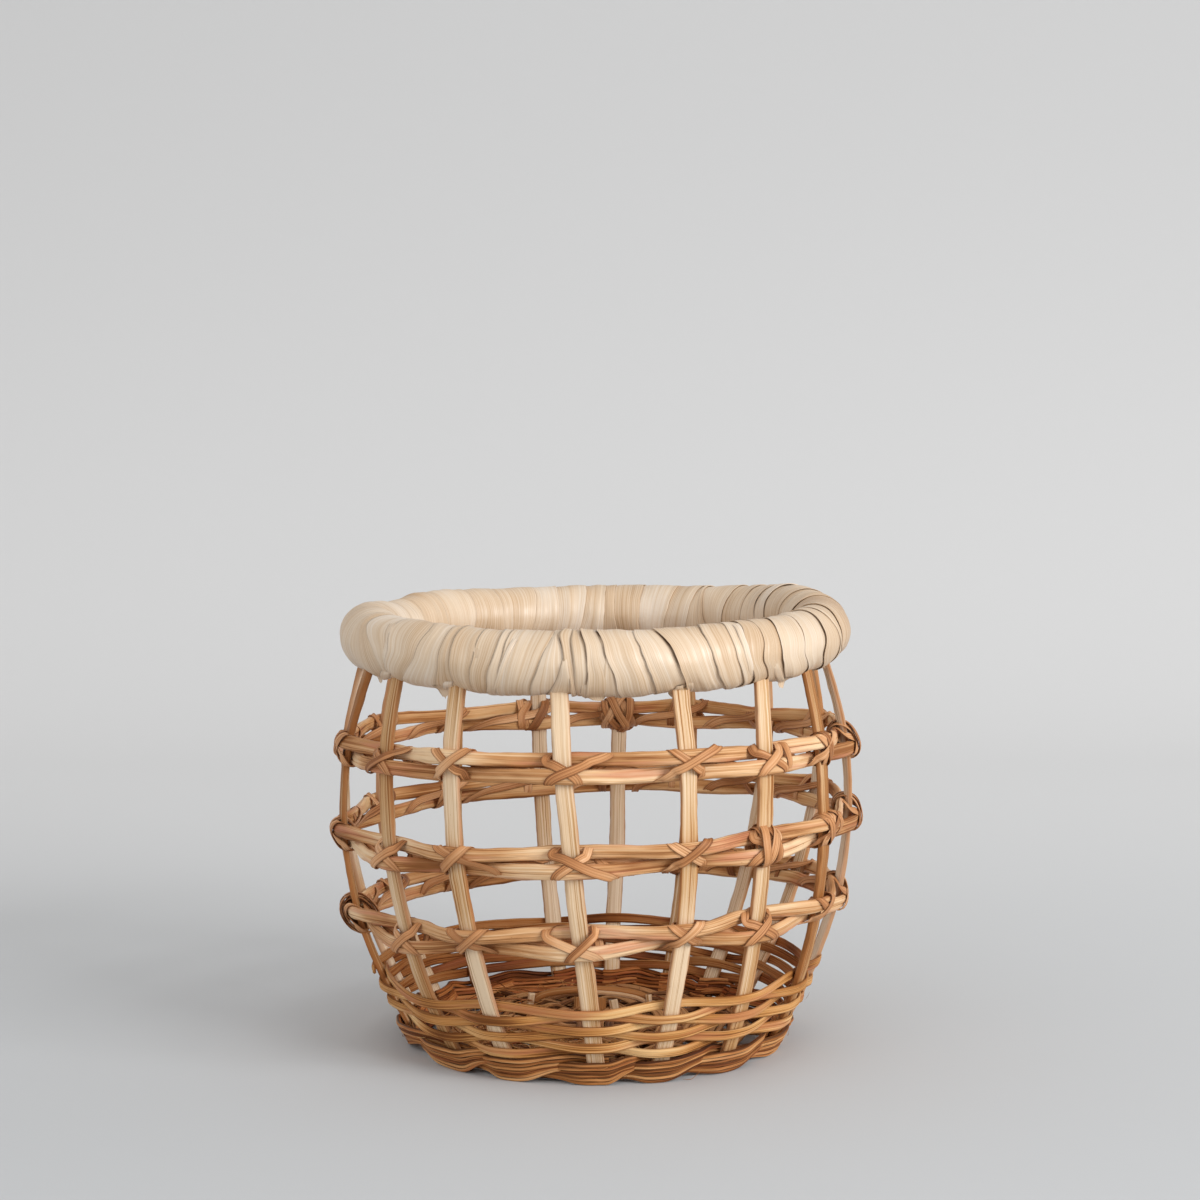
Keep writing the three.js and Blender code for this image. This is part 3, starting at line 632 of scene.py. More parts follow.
def rim_edges():
    """Edges round the whole rim: (strength, tone of the strip left of it, bearing at each turn)."""
    edges = [(strength, tone, front_edge(marks)) for strength, tone, marks in FRONT_EDGES]
    for strength, px in BACK_EDGES:
        slant, tone = rim_rng.uniform(-2.2, 1.0), rim_rng.uniform(0.42, 0.56)
        line = bearing_at(px, 128.0, 92.0, 268.0) + slant * np.sin(np.radians(RIM_TURNS - 20))
        edges.append((strength * 0.5, tone, line))
    taken = sorted(e[2].mean() % 360 for e in edges)
    for here, there in zip(taken, taken[1:] + [taken[0] + 360]):
        room = there - here
        extra = int(room // 12.0) if room > 13 else 0
        for k in range(1, extra + 1):
            middle = here + room * k / (extra + 1) + rim_rng.uniform(-1.6, 1.6)
            slant = rim_rng.uniform(-3, 3)
            line = middle + slant * np.sin(np.radians(RIM_TURNS + rim_rng.uniform(-30, 30)))
            edges.append((0.05 + 0.34 * rim_rng.uniform() ** 3, rim_rng.uniform(0.4, 0.62), line))
    edges = [(s, t, line - 360 * round((line.mean() - 180) / 360)) for s, t, line in edges]
    edges.sort(key=lambda e: e[2].mean())
    lines = [e[2] + wobble(RIM_TURNS, 360, 90.0, 0.12, rim_rng) for e in edges]
    for k in range(1, len(lines)):
        lines[k] = np.maximum(lines[k], lines[k - 1] + 0.8)
    return [(s, t, line) for (s, t, _), line in zip(edges, lines)]


def folds(across, turns, rng):
    """Soft folds that run with the strip and drift across it, with shallow dents, in millimetres."""
    t = np.radians(turns)[:, None]
    total = np.zeros((len(turns), len(across)))
    for _ in range(12):
        wave = rng.uniform(3.0, 14.0)
        drift = rng.uniform(-3.5, 3.5) * np.sin(t + rng.uniform(0, 6.28))
        gate = 0.5 + 0.5 * np.sin(t * rng.integers(1, 4) + rng.uniform(0, 6.28))
        phase = np.pi * (across[None, :] + drift) / wave + rng.uniform(0, 6.28)
        shape = np.sin(2 * phase) if rng.uniform() < 0.5 else 1 - 2 * np.abs(np.sin(phase)) ** 0.8
        total += rng.uniform(0.003, 0.0105) * wave ** 0.9 * gate * shape
    for _ in range(4):
        dent = np.sin(2 * np.pi * across[None, :] / rng.uniform(14, 30) + rng.uniform(0, 6.28)
                      + t * rng.choice([-3, -2, 2, 3, 4]))
        total += rng.uniform(0.03, 0.12) * dent
    return total


def rim_strips():
    """The strips from edge to edge, each raised and curled at its left edge over the one before."""
    piece = Piece(2)
    rng = piece.rng
    edges = rim_edges()
    fine = np.arange(-120, 241, 4.5)
    for k, (strength, _, left) in enumerate(edges):
        next_strength, tone, right = edges[(k + 1) % len(edges)]
        left = np.interp(fine, RIM_TURNS, left)
        right = np.interp(fine, RIM_TURNS, right) + (360 if k + 1 == len(edges) else 0)
        width = right - left
        mean_mm = math.radians(width.mean()) * RIM_OUTSIDE
        over = min(0.6, 5.0 / mean_mm)
        x = np.linspace(0, 1 + over, max(8, int(mean_mm / 0.5)))
        mm = x * mean_mm
        step = 0.06 + 0.9 * strength ** 1.3
        fades = [np.clip(0.62 + wobble(fine, 360, 70.0, 0.6, rng), 0.1, 1)[:, None] for _ in range(2)]
        h = 0.3 * step - (0.55 + 0.3 * step) * np.clip((x - 0.3) / (0.7 + over), 0, 1) ** 0.9
        h = h + 0.7 * step * np.clip(1 - mm / 3.0, 0, 1) ** 2
        h = h + rng.uniform(0.05, 0.3) * np.clip(4 * x * (1 - x), 0, 1) + folds(mm, fine, rng)
        b = left[:, None] + width[:, None] * x
        b[:, 0] += wobble(fine, 360, 40.0, 0.06, rng)
        skirt = rim_point(b[:, 0] + 0.3, fine, h[:, 0] - 0.3 - 0.8 * step)
        rings = np.concatenate([skirt[:, None], rim_point(b, fine[:, None], h)], axis=1)
        # Painted shadow of the lap: dark on this strip's own edge and skirt, and under the edge of the next
        # strip
        shade = np.clip(1.2 - np.clip(1 - x, 0, 1) * mean_mm / (0.35 + 0.45 * next_strength), 0, 1)
        shade = fades[0] * shade * min(1.0, 0.1 + 1.1 * next_strength)
        side = np.concatenate([fades[1] * min(1.0, 0.04 + 1.15 * strength), shade], axis=1)
        piece.skin(rings, side=side, across=np.append(-0.8, mm), tone=tone)
    for flap in FLAPS:
        rim_flap(piece, *flap)
    for tab in TABS:
        rim_tab(piece, *tab)
    piece.build("rim_wrap_strips", leaf, ["rim_wrap"], outwards=False)


def rim_flap(piece, left, right, lift):
    """A fold or tuck between two edges, raised over the strips and pressed down at its edges."""
    share = np.linspace(0, 1, 22)
    ends = []
    for marks in (left, right):
        turns, bearings = np.array(sorted((turn, bearing_at(px, turn)) for px, turn in marks)).T
        t = np.linspace(turns[0], turns[-1], len(share))
        ends.append((t, blur_line(np.interp(t, turns, bearings), 2, False)))
    x = np.linspace(0, 1, 12)
    (t0, b0), (t1, b1) = ends
    t, b = (p[:, None] * (1 - x) + q[:, None] * x for p, q in ((t0, t1), (b0, b1)))
    fade = np.minimum(1, np.minimum(share, 1 - share) / 0.15)[:, None]
    mm = np.radians(b1 - b0).mean() * RIM_OUTSIDE * x
    h = lift * (0.25 + 0.75 * fade) * (1 - np.abs(2 * x - 1) ** 5) - 0.15
    h = h + folds(mm, np.degrees(share * 2), piece.rng)
    # Painted shade along the flap's pressed-down edges
    piece.skin(rim_point(b, t, h), side=np.abs(2 * x - 1) ** 8 * 0.7, across=mm, tone=0.55)


def rim_tab(piece, px, width, drop, sway):
    """A frayed end that leaves the roll's underside and hangs down, with a torn lower edge."""
    middle = bearing_at(px, -80.0)
    x = np.linspace(-0.5, 0.5, 9)
    torn = drop * (1 + 0.45 * piece.rng.uniform(-1, 1, 9))
    b = middle + np.degrees(width * x / RIM_OUTSIDE)
    rows = [rim_point(b, t, 0.25) for t in (-58.0, -66.0, -74.0)]
    last = rows[-1]
    for share in np.arange(1, 7) / 6:
        down = (1.6 + torn)[:, None] * share * UPWARDS
        curl = radial(b) * (-1.6 * share + 1.3 * share ** 2)
        narrow = along(middle) * (x * width * -0.5 * share ** 2 + sway * share)[:, None]
        rows.append(last - down + curl + narrow)
    rings = blur_line(np.array(rows), 1, False)
    # Painted shade along the tab's side edges
    piece.skin(rings, side=np.abs(2 * x) ** 6 * 0.4, across=x * width, tone=piece.rng.uniform(0.3, 0.55))


rim_strips()


# Stakes

# The right stake shows its edge
TURNED_STAKE, TURNED_BY = 7, 16
# Tones of the stakes in front: partly each cane's own tone, partly painted light and shade, which makes stake
# 0 dark brown where it turns away from the light
STAKE_TONES_AND_SHADE = {0: 0.2, 1: 0.4, 2: 0.6, 3: 0.6, 4: 0.54, 5: 0.46, 6: 0.24, 7: 0.7}
# Half-round section with softly worn corners, flat at the back: [across, outwards]
STAKE_SECTION = np.array([
    (-4.25, -0.3), (-4.12, 0.4), (-3.6, 0.98), (-2.7, 1.36), (-1.4, 1.6), (0.0, 1.7),
    (1.4, 1.6), (2.7, 1.34), (3.6, 0.96), (4.12, 0.4), (4.25, -0.3),
    (4.2, -1.35), (3.95, -1.68), (2.0, -1.7), (0.0, -1.66), (-2.0, -1.7), (-3.95, -1.68), (-4.2, -1.35)])


def stake_piece(index):
    piece = Piece(100 + index)
    rng = piece.rng
    top = height_at_stake(RIM, index) - 4.8
    knots = [STAKE_FOOT, 14.5, 29.0, 43.5]
    for level in HOOPS.values():
        middle = height_at_stake(level, index)
        knots += [middle - 7.45, middle + 7.45]
    knots = np.array(knots + [top])
    z = np.linspace(STAKE_FOOT, top, 130)
    curve, side, _, _ = wall_frame(stake_bearing(index, z), z)
    straight = straight_between(z, knots, on_wall(stake_bearing(index, knots), knots))
    points = blur_line(0.5 * straight + 0.5 * curve, 12, False)
    points = points + side * wobble(z, top, 90.0, 0.25, rng)[:, None]
    width = 1 + wobble(z, top, 60.0, 0.03, rng) + rng.uniform(-0.03, 0.03)
    thick = 1 + wobble(z, top, 60.0, 0.04, rng)
    twist = wobble(z, top, 160.0, 0.05, rng)
    if index == TURNED_STAKE:
        twist = twist + math.radians(TURNED_BY)
    section = uneven(STAKE_SECTION, 0.012, rng)
    tone = rng.uniform(0.35, 0.6)
    piece.sweep(points, side, section[::-1], wide=width, thick=thick, twist=twist, worn=0.22,
                tone=STAKE_TONES_AND_SHADE.get(index, tone) + wobble(z, top, 120.0, 0.1, rng))
    name = "stake_%02d" % (index + 1)
    piece.build(name + "_cane", stake_finish_and_shade, [name])


for stake_index in range(COUNT):
    stake_piece(stake_index)


# Hoops


def woven_marks(first, count, first_way, height_at):
    """Bearings just before and after each stake, and on which side of it a cane passes."""
    marks, ways = [], []
    for k in range(count):
        for reach in (-STAKE_HOLD, STAKE_HOLD):
            marks.append(past(first + k, reach, height_at(first + k, reach)))
            ways.append(first_way * (-1) ** k)
    return np.array(marks), np.array(ways, float)


def woven_line(bearing, marks, outs, height_at, up, length, periods, closed, rng):
    """A cane's line past the stakes: half way between the wall's curve and straight, and a little uneven."""
    arc = on_wall(bearing, height_at(bearing), smooth_steps(bearing, marks, outs), up)
    chord = straight_between(bearing, marks, on_wall(marks, height_at(marks), outs, up))
    points = blur_line(0.5 * arc + 0.5 * chord, 5 if closed else 4, closed)
    _, _, up_axis, out_axis = wall_frame(bearing, height_at(bearing))
    for axis, period, amount in ((up_axis, periods[0], 0.22), (out_axis, periods[1], 0.12)):
        points = points + axis * wobble(bearing - bearing[0], length, period, amount, rng)[:, None]
    return points, up_axis, out_axis


def hoop_cane(name, is_upper, seed):
    """One of a hoop's canes; tells how far up and out of the hoop's line it lies at each bearing."""
    piece = Piece(seed)
    rng = piece.rng
    level = HOOPS[name]
    up = HOOP_CANE_UP if is_upper else -HOOP_CANE_UP
    marks, ways = woven_marks(
        -1, COUNT + 2, -1 if is_upper else 1, lambda i, _: height_at_stake(level, i) + up)
    s = 360 * np.arange(HOOP_STEPS) / HOOP_STEPS
    bearing = past(0, 0, level[0]) + s
    points, up_axis, out_axis = woven_line(
        bearing, marks, ways * HOOP_CANE_OUT, partial(level_height, level), up, 360, (40, 50), True, rng)
    section = uneven(ribbed(7.2, 3.7, 3.5, 0.09, 17), 0.02, rng)
    wide = 0.98 + wobble(s, 360, 26.0, 0.05, rng)
    thick = 1.0 + wobble(s, 360, 22.0, 0.05, rng)
    twist = wobble(s, 360, 50.0, 0.08, rng)
    piece.sweep(points, up_axis, section, closed=True, wide=wide, thick=thick, twist=twist, worn=0.26,
                tone=0.5 + wobble(s, 360, 70.0, 0.3, rng))
    node = "%s_%s_cane" % (name, "upper" if is_upper else "lower")
    piece.build(node + "_round", hoop_finish_and_shade, [node])
    apart = points - on_wall(bearing, level_height(level, bearing))
    return bearing, (apart * up_axis).sum(-1), (apart * out_axis).sum(-1)


# Lashings: how far each stake's four arms reach past its middle, in millimetres:
# low left, high right, low right, high left. Stakes not named here get arms of their own.
ARMS = {
    "top_hoop": {
        1: (-9.4, 21.0, 7.5, -7.5), 2: (-7.5, 12.4, 7.0, -7.5), 3: (-7.0, 25.0, 7.3, -8.7),
        4: (-10.8, 16.2, 7.0, -9.3), 5: (-6.5, 9.5, 10.0, -9.4)},
    "middle_hoop": {2: (-8.0, 9.0, 23.0, -9.0), 3: (-8.0, 8.5, 20.0, -9.0)},
    "lower_hoop": {3: (-6.6, 7.2, 7.8, -19.0), 4: (-8.3, 7.0, 9.0, -8.0)},
}
# Extra turns beside a stake: (turns, middle, spread) in turns and millimetres
KNOTS = {
    "top_hoop": {
        0: (2, 0.0, 3.0), 5: (1, 13.0, 0.5), 6: (2, 3.0, 5.0), 7: (5, 3.0, 6.0), 11: (7, 0.0, 8.0),
        12: (2, 4.0, 8.0)},
    "middle_hoop": {
        0: (2, 0.0, 3.0), 5: (5, 1.0, 4.5), 6: (3, 2.0, 7.0), 7: (4, 3.0, 5.0), 13: (3, 9.0, 3.0)},
    "lower_hoop": {0: (8, -5.0, 6.5), 7: (3, 6.0, 4.0), 10: (3, 8.0, 4.0)},
}
STRIP_WIDTH, STRIP_THICKNESS = 4.5, 0.6
HOOP_RADIUS = 125
# Crossings where the strip that rises to the left lies on top
LEFT_ON_TOP = [("middle_hoop", 3)]


def lashing_path(name, canes, rng):
    """Bearing, turn round the two canes and layer: 0 is in front, 90 above, 180 inside, 270 below."""
    level = HOOPS[name]
    rows = []
    base = 0.0

    def place(stake, a, turn, layer):
        height = height_at_stake(level, stake) + 7.0 * math.sin(math.radians(turn))
        rows.append((past(stake, a, height), base + turn, layer))

    def swing(stake, a0, a1, turn0, turn1, layer, steps):
        """Half a turn that looks straight from outside: it moves along the hoop as it climbs."""
        share = np.arange(steps + 1) / steps
        turns = turn0 + (turn1 - turn0) * share
        there = past(stake, 0, level[0]) + np.degrees((a0 + (a1 - a0) * share) / wall_radius(level[0]))
        climb = hull_reach(canes, name, there, turns) * np.sin(np.radians(turns))
        climb = np.maximum.accumulate(climb * np.sign(climb[-1] - climb[0]))
        share = 0.94 * (climb - climb[0]) / (climb[-1] - climb[0]) + 0.06 * share
        for k in range(steps):
            place(stake, a0 + (a1 - a0) * share[k], turns[k], layer)

    arms = []
    for i in range(COUNT + 1):
        reach = rng.uniform(7.0, 10.5, 4) * np.array([-1, 1, 1, -1])
        arms.append(ARMS[name].get(i % COUNT, tuple(reach)))
    arms[COUNT] = arms[0]
    for k in range(6):
        place(0, arms[0][0] - 6 + k, -180 + 15 * k, 1)
    for i in range(COUNT):
        low_left, high_right, low_right, high_left = arms[i]
        over, under = (1, 2) if (name, i) in LEFT_ON_TOP else (2, 1)
        swing(i, low_left, high_right, -90, 90, over, 28)
        swing(i, high_right, low_right, 90, 270, 1, 14)
        turns, middle, spread = KNOTS[name].get(i, (0, 0, 0))
        for k in range(turns * 30):
            turn = 270 + 12 * k
            place(i, middle + spread * math.sin(math.radians(turn * 0.72 + 50)), turn, 1.3 + 0.8 * k / 30)
        base += 360 * turns
        swing(i, low_right, high_left, 270, 450, under, 28)
        # Inside, the strip runs down and on to the next stake
        ahead = math.radians(past(i + 1, arms[i + 1][0], level[0]) - past(i, high_left, level[0]))
        run = ahead * float(wall_radius(level[0]))
        for k in range(26):
            share = k / 26
            turn = 450 + 45 * min(1, share / 0.15) + 90 * share + 45 * max(0, (share - 0.85) / 0.15)
            place(i, high_left + run * share, turn, 1.5)
        base += 720.0
    for k in range(8):
        place(COUNT, arms[COUNT][0] + k, -90 - 10 * k, 2)
    return np.array(rows)


def hull_reach(canes, name, bearing, turn):
    """Distance from the middle of the two canes to a strip drawn tight round them and the stake."""
    stakes = np.radians([past(i, 0, HOOPS[name][0]) for i in range(-1, COUNT + 1)]) * HOOP_RADIUS
    first = canes[0][0][0]
    b = first + (bearing - first) % 360
    gap = np.abs(np.radians(b)[:, None] * HOOP_RADIUS - stakes).min(1)
    near = np.clip((8.5 - gap) / 4.0, 0, 1)[:, None]
    swing = np.radians(np.arange(-78, 79, 3.0))
    angle = np.radians(turn)[:, None] + swing
    n_up, n_out = np.sin(angle), np.cos(angle)
    support = near * (7.3 * np.abs(n_up) + 1.75 * np.abs(n_out))
    for grid, *place in canes:
        up, out = (np.interp(b, np.append(grid, grid[0] + 360), np.append(v, v[0]))[:, None] for v in place)
        round_it = (np.abs(3.55 * n_up) ** (5 / 3) + np.abs(1.95 * n_out) ** (5 / 3)) ** 0.6
        support = np.maximum(support, up * n_up + out * n_out + round_it)
    return (support / np.cos(swing)).min(1)


def lashing(name, canes, seed):
    """One strip, crossed over every stake and run down inside to the next one."""
    piece = Piece(seed)
    rng = piece.rng
    bearing, turn, layer = blur_line(lashing_path(name, canes, rng), 5, False).T

    def place(b, t, reach):
        a = np.radians(t)
        return on_wall(b, level_height(HOOPS[name], b), reach * np.cos(a), reach * np.sin(a))

    def tight(more_bearing, more_turn):
        b, t = bearing + more_bearing, turn + more_turn
        return place(b, t, hull_reach(canes, name, b, t))

    reach = blur_line(hull_reach(canes, name, bearing, turn), 3, False) + 0.42 + 0.62 * (layer - 1)
    points = blur_line(place(bearing, turn, reach), 2, False)
    outward = np.cross(tight(0.6, 0) - tight(-0.6, 0), tight(0, 9) - tight(0, -9))
    outward = blur_line(unit(outward), 3, False)
    away = points - place(bearing, turn, np.zeros_like(reach))
    outward = outward * np.sign((outward * away).sum(-1, keepdims=True))
    across = np.cross(outward, unit(np.gradient(points, axis=0)))
    s = np.arange(len(points), dtype=float)
    wide = 1 + wobble(s, len(s), 60, 0.07, rng)
    piece.sweep(points, across, ribbed(STRIP_WIDTH, STRIP_THICKNESS, 3.5, 0.08, 15, 7, 3), wide=wide,
                tone=0.5 + wobble(s, len(s), 90, 0.25, rng))
    piece.build(name + "_lashing_strip", lashing_finish_and_shade, [name + "_lashing"])


for level_index, hoop_name in enumerate(HOOPS):
    upper = hoop_cane(hoop_name, True, 200 + level_index)
    lower = hoop_cane(hoop_name, False, 210 + level_index)
    lashing(hoop_name, [upper, lower], 220 + level_index)


# Side weave and border of the foot

CANE = 3.9
WEAVER_OUT = STAKE_HALF + GAP + 0.9
BORDER_TOP = 3 * CANE + 2 * GAP
WEAVER_LEAN = math.radians(-10)
# A weaver goes three times round
WEAVER_STAKES = 3 * COUNT


def side_weaver(name, first_stake, rows_below, seed):
    """A flat cane that climbs round the stakes, in front of one and behind the next."""
    piece = Piece(seed)
    rng = piece.rng
    slope = float(wall_slope(BORDER_TOP))
    first_row = BORDER_TOP + GAP + (3.7 / 2 + (WEAVER_OUT + 0.9) * slope) / math.hypot(1, slope)
    start = past(1, 0, FOOT)

    def level_at(bearing):
        rows = 2 * (bearing - start) / 360 - rows_below
        return first_row + 4.4 * rows * (1 + 0.08 * np.sin(np.radians(bearing)))

    marks, ways = woven_marks(first_stake, WEAVER_STAKES, -1, lambda i, reach: level_at(past(i, reach, FOOT)))
    bearing = np.linspace(marks[0], marks[-1], WEAVER_STAKES * 22)
    s = bearing - marks[0]
    length = s[-1]
    points, up_axis, _ = woven_line(
        bearing, marks, ways * WEAVER_OUT, level_at, 0.0, length, (60, 60), False, rng)
    wide = 1.0 + wobble(s, length, 46.0, 0.06, rng)
    thick = 1.0 + wobble(s, length, 40.0, 0.08, rng)
    twist = wobble(s, length, 60.0, 0.1, rng)
    section = uneven(ribbed(5.0, 1.7, 3.6, 0.08, 17, 3.2), 0.012, rng)
    piece.sweep(points, up_axis, section, wide=wide, thick=thick, twist=WEAVER_LEAN + twist, worn=0.1,
                tone=0.5 + wobble(s, length, 60.0, 0.3, rng))
    piece.build(name + "_flat", weave_finish_and_shade, [name])


side_weaver("side_weaver_a", 1, 0, 301)
side_weaver("side_weaver_b", 8, 1, 302)


def border_crescent(piece, stake, low, spread):
    """One strand: it dips in front of a stake and rises to pass behind its neighbours."""
    rng = piece.rng
    slope = float(wall_slope(low))
    front = STAKE_HALF * math.hypot(1, slope) + GAP
    before, here, after = (float(stake_bearing(stake + k, low)) for k in (-1, 0, 1))
    share = np.linspace(-1.14, 1.14, 72)
    bearing = here + np.where(share > 0, share * (after - here), share * (here - before))
    inside, bulge = -front - 1.1, front + 1.2 + 1.1 * slope
    out = smooth_steps(share, [-1.14, -0.8, -0.47, -0.17, 0.17, 0.47, 0.8, 1.14],
                       [inside, inside, 0.2, bulge, bulge, 1.9, inside, inside])
    rise = smooth_steps(np.abs(share), [0.0, 0.1, 0.6, 0.7, 1.05], [0.0, 0.0, 1.0, 1.0, 0.6])
    waist = np.where(share > 0, 10.2, 5.8) + spread * (low - 6.2)
    z = blur_line(low + rise * (waist - low), 6, False)
    around = wall_radius(z) + blur_line(out, 3, False) + wobble(share, 2.28, 0.5, 0.14, rng)
    points = radial(bearing) * around[:, None]
    points[:, 2] = z + np.maximum(0, wobble(share, 2.28, 0.6, 0.14, rng))
    _, _, up_axis, _ = wall_frame(bearing, z)
    piece.sweep(points, up_axis, oval(2.1, 2.3, 14, 2.2), wide=1 + wobble(share, 2.28, 0.5, 0.07, rng),
                twist=wobble(share, 2.28, 0.8, 0.15, rng), tone=rng.uniform(0.1, 0.9), worn=0.08)


for row, border_name in enumerate(["border_foot_cane", "border_middle_cane", "border_upper_cane"]):
    border = Piece(311 + row)
    for foot in range(2 * COUNT):
        border_crescent(border, foot // 2, 1.2 + row * 4.0 + foot % 2 * 1.95, 0.45 + 0.2 * row)
    border.build(border_name + "_twist", border_finish_and_shade, [border_name])

STAKE_INSIDE = float(wall_radius(STAKE_FOOT)) - STAKE_HALF / math.hypot(1, float(wall_slope(STAKE_FOOT)))
INNER_RADIUS = STAKE_INSIDE - GAP - 2.0


def inner_cane():
    piece = Piece(314)
    bearing = 360 * np.arange(240) / 240
    points = radial(bearing) * (INNER_RADIUS - 0.4)
    points[:, 2] = 0.9 + CANE / 2 + wobble(bearing, 360, 40.0, 0.1, piece.rng)
    wide = 1 + wobble(bearing, 360, 30.0, 0.05, piece.rng)
    piece.sweep(points, UPWARDS, oval(CANE, CANE, 12, 2.2), closed=True, wide=wide)
    piece.build("border_inner_cane_round", border_finish_and_shade, ["border_inner_cane"])


inner_cane()


# Floor

FLOOR_HEIGHT = 0.9 + CANE + GAP + 1.2
SPOKES = 16
# A floor weaver goes this many times round, and its rows lie two of these apart
FLOOR_ROUNDS, FLOOR_ROW = 4, 6.8
FLOOR_LIFT = 2.6


def floor_cane(index):
    """A split cane through the middle of the floor, one of four side by side, fanned out to two spokes."""
    piece = Piece(400 + index)
    crosses = index >= 4
    place = index % 4 - 1.5
    side, fan = place * 5.0, math.radians(place * 22.5)
    lift = 1.35 if crosses else -1.35
    marks = [(a, side, lift) for a in (-14, 0, 14)]
    for r in (21, 50, 88.5):
        x, y = r * math.cos(fan), r * math.sin(fan)
        marks = [(-x, y, 0), *marks, (x, y, 0)]
    line = spline(marks, 14)
    quarter = 90.0 if crosses else 0.0
    points = line[:, 0:1] * along(quarter) + line[:, 1:2] * along(quarter + 90)
    points[:, 2] = FLOOR_HEIGHT + line[:, 2]
    s = np.arange(len(points), dtype=float)
    flat = np.cross(UPWARDS, np.gradient(points, axis=0))
    piece.sweep(points, flat, oval(4.5, 2.4, 12, 2.4), wide=1 + wobble(s, len(s), 30, 0.06, piece.rng))
    name = "floor_cane_%d" % (index + 1)
    piece.build(name + "_split", floor_finish_and_shade, [name])


for cane_index in range(8):
    floor_cane(cane_index)


def floor_weaver(name, first_spoke, first_side, seed):
    """Two strands that wind out from the middle, over and under the spokes."""
    piece = Piece(seed)
    rng = piece.rng
    passes = FLOOR_ROUNDS * SPOKES
    spokes = np.arange(passes + 1)
    fine = np.linspace(0, passes, 10 * passes + 1)
    b = np.interp(fine, spokes, 360 * (first_spoke + spokes + 0.5) / SPOKES)
    lifts = np.where(spokes % 2 == 0, first_side, -first_side) * FLOOR_LIFT
    end = INNER_RADIUS * math.cos(math.pi / 24) - 2 - GAP - 3.05
    for strand in range(2):
        r = end - 2 * FLOOR_ROW * FLOOR_ROUNDS + 2 * FLOOR_ROW * fine / SPOKES + (strand - 0.5) * 3.1
        z = FLOOR_HEIGHT + smooth_steps(fine, spokes, lifts) * 0.92 + wobble(fine, passes, 3, 0.12, rng)
        points = radial(b) * (r + wobble(fine, passes, 4, 0.25, rng))[:, None]
        points[:, 2] = z
        piece.sweep(points, radial(b), oval(3.0, 1.5, 10, 2.3), wide=1 + wobble(fine, passes, 2, 0.1, rng),
                    twist=wobble(fine, passes, 2, 0.2, rng))
    piece.build(name + "_strands", floor_finish_and_shade, [name])


floor_weaver("floor_weaver_a", 0, 1, 421)
floor_weaver("floor_weaver_b", 8, -1, 422)


def floor_arch():
    """A cane that springs out of the floor behind the middle, with a second strand on its right half."""
    piece = Piece(430)
    low, top, left, right = 9.95, 16.1, -31, 27.5
    t = np.linspace(0, 1, 60)
    a = np.pi * (1 - t)
    x = (left + right) / 2 + (right - left) / 2 * np.cos(a)
    z = low + (top - low) * np.sin(a) ** 0.9
    points = np.stack([x, np.full_like(x, 38.0), z], -1)
    back = np.array([0.0, 1.0, 0.0])
    piece.sweep(points, back, ribbed(4.6, 3.6, 4, 0.07), wide=1 + wobble(t, 1.0, 0.3, 0.06, piece.rng))
    half = points[28:] + np.array([0.0, -3.4, -0.9])
    half[:, 2] -= np.linspace(0, 1.0, len(half))
    piece.sweep(half, back, ribbed(3.0, 2.2, 3, 0.06))
    piece.build("floor_arch_cane_round", stake_finish_and_shade, ["floor_arch_cane"])


floor_arch()

# Cut ends that stand up at the feet of the arch, and a broad spoke end below it: foot, lean, length,
# width, thickness
CHIPS = [((-34.5, 34.0), (0.15, -0.1), 9.0, 3.6, 2.0), ((28.8, 33.0), (-0.1, 0.1), 8.0, 3.4, 2.0),
         ((-3.0, 31.0), (0.05, 0.25), 7.0, 17.0, 2.0), ((10.5, 33.0), (-0.2, 0.1), 5.5, 5.0, 1.8)]


def floor_chips():
    piece = Piece(431)
    for place, lean, length, width, thickness in CHIPS:
        t = np.linspace(0, 1, 8)[:, None]
        points = np.array([*place, FLOOR_HEIGHT]) + t * length * unit(np.array([*lean, 1.0]))
        section = uneven(ribbed(width, thickness, 5, 0.08), 0.03, piece.rng)
        piece.sweep(points, np.array([1.0, 0.1, 0.0]), section)
    piece.build("floor_cut_ends", stake_finish_and_shade)


floor_chips()


def fibre(piece, start, run, bow, thickness):
    """One loose fibre: an arc from start along run, bowed sideways, that stays above the ground."""
    t = np.linspace(0, 1, 9)
    points = start + t[:, None] * run + (4 * t * (1 - t))[:, None] * bow
    points[:, 2] = np.maximum(points[:, 2], 0.5)
    taper = 1 - 0.6 * np.abs(2 * t - 1) ** 3
    section = oval(thickness, thickness * 0.7, 5, 2.0)
    piece.sweep(points, np.array([0.3, 0.2, 1.0]), section, wide=taper, thick=taper)


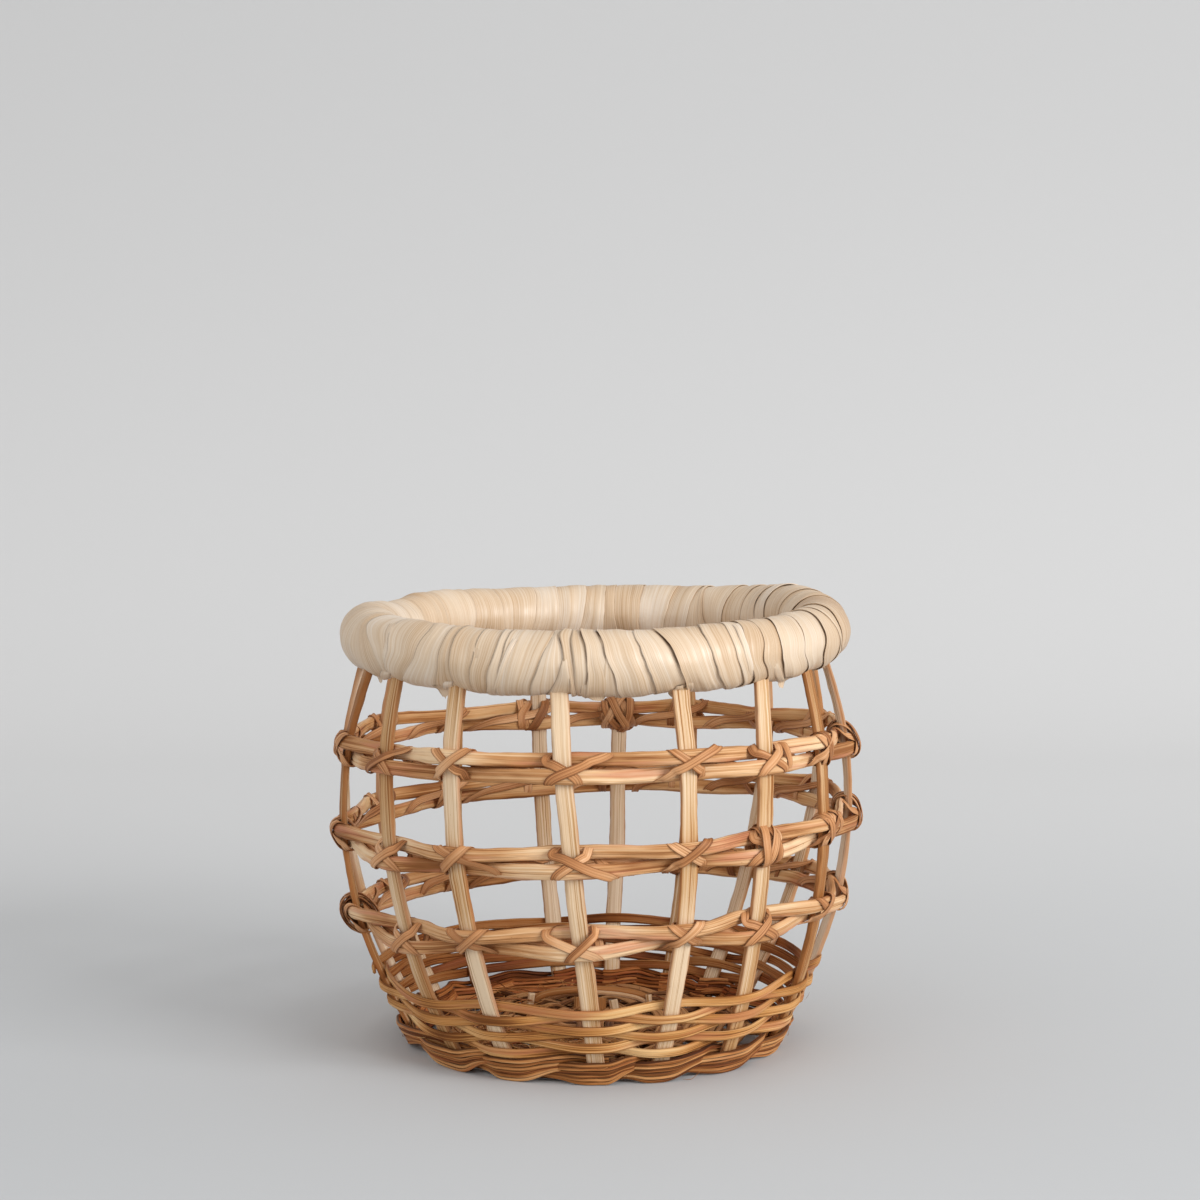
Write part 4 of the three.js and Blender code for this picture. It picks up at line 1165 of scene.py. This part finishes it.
def loose_fibres():
    """Hay-like fibres on the floor, and a few hairs that stand off the weave of the foot."""
    piece = Piece(432)
    rng = piece.rng
    for _ in range(290):
        b = rng.normal(-65, 60)
        r = 85 * math.sqrt(rng.uniform(0.22, 1.0))
        start = radial(b) * r + UPWARDS * (FLOOR_HEIGHT + rng.uniform(2.6, 5.5))
        way = b + rng.choice([90, 90, 0]) + rng.normal(0, 35)
        run = (radial(way) + UPWARDS * rng.normal(0, 0.08)) * rng.uniform(8, 26)
        if np.hypot(*(start + run)[:2]) < 86:
            bow = np.array([rng.normal(0, 2), rng.normal(0, 2), rng.uniform(0, 3)])
            fibre(piece, start, run, bow, rng.uniform(0.35, 0.95))
    for _ in range(34):
        b, z = rng.uniform(-180, 180), rng.uniform(5, 34)
        _, side, up, out = wall_frame(b, z)
        run = (side * rng.choice([-1, 1]) * rng.uniform(0.5, 1) + up * rng.normal(0, 0.4)
               + out * rng.uniform(-0.12, 0.12)) * rng.uniform(5, 15)
        bow = out * rng.uniform(0.1, 0.8) + up * rng.normal(0, 0.8)
        fibre(piece, on_wall(b, z, 4.6), run, bow, rng.uniform(0.14, 0.26))
    piece.build("loose_fibres", weave_finish_and_shade)


loose_fibres()

# The core is hidden inside the wound rim and keeps its own shape
for core_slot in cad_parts["rim_core"].material_slots:
    core_slot.material = core_finish


# Room and light


# Paper, in metres: half its width, where it starts to bend up, the bend's radius, its front and top ends
PAPER_HALF, PAPER_BEND, PAPER_RADIUS, PAPER_FRONT, PAPER_TOP = 4.0, 1.0, 1.2, -3.0, 4.0


def backdrop():
    """A sheet of paper that curves up behind; its colour carries painted light and shade: darker on the floor
    in front, with a little blue against the basket's warm bounce light, paler at the bend behind, dimmer
    higher up.
    """
    paper = Net("studio_paper")
    _, y, z = paper.split(paper.make("NewGeometry").outputs["Position"])
    behind = paper.math("ADD", y, z)
    # Painted light and shade: the floor in front darker, the bend paler, the wall above dimmer
    colour = paper.mix(paper.range(behind, -0.25, 1.1), (0.541, 0.552, 0.562, 1), (0.735, 0.735, 0.735, 1))
    colour = paper.mix(paper.range(behind, 1.2, 3.2), colour, (0.63, 0.63, 0.63, 1))
    paper.fill(paper.shader, {"Base Color": colour, "Roughness": 0.9, "Specular IOR Level": 0.15})
    profile = [(PAPER_FRONT, 0.0), (PAPER_BEND, 0.0)]
    for k in range(1, 25):
        a = math.radians(90 * k / 24)
        profile.append((PAPER_BEND + PAPER_RADIUS * math.sin(a), PAPER_RADIUS - PAPER_RADIUS * math.cos(a)))
    profile.append((PAPER_BEND + PAPER_RADIUS, PAPER_TOP))
    points = [(x, y, z) for y, z in profile for x in (-PAPER_HALF, PAPER_HALF)]
    faces = [(2 * k, 2 * k + 1, 2 * k + 3, 2 * k + 2) for k in range(len(profile) - 1)]
    added_mesh("studio_floor", points, faces, paper.material)


backdrop()


def area_light(name, place, size, power):
    """A soft light that looks at the basket."""
    data = bpy.data.lights.new(name, "AREA")
    data.shape = "RECTANGLE"
    data.size, data.size_y = size
    data.energy = power
    lamp = added(name, data)
    lamp.location = place
    lamp.rotation_euler = (Vector((0, 0, 0.1)) - Vector(place)).to_track_quat("-Z", "Y").to_euler()


area_light("window", (2.0, -1.6, 1.15), (1.5, 1.2), 57)
area_light("fill", (-1.7, -2.3, 1.3), (2.2, 1.8), 12)

world = bpy.data.worlds.new("studio")
world.use_nodes = True
sky = world.node_tree.nodes["Background"].inputs
sky[0].default_value = (1, 1, 1, 1)
sky[1].default_value = 0.72
bpy.context.scene.world = world
bpy.context.scene.view_settings.view_transform = "Standard"
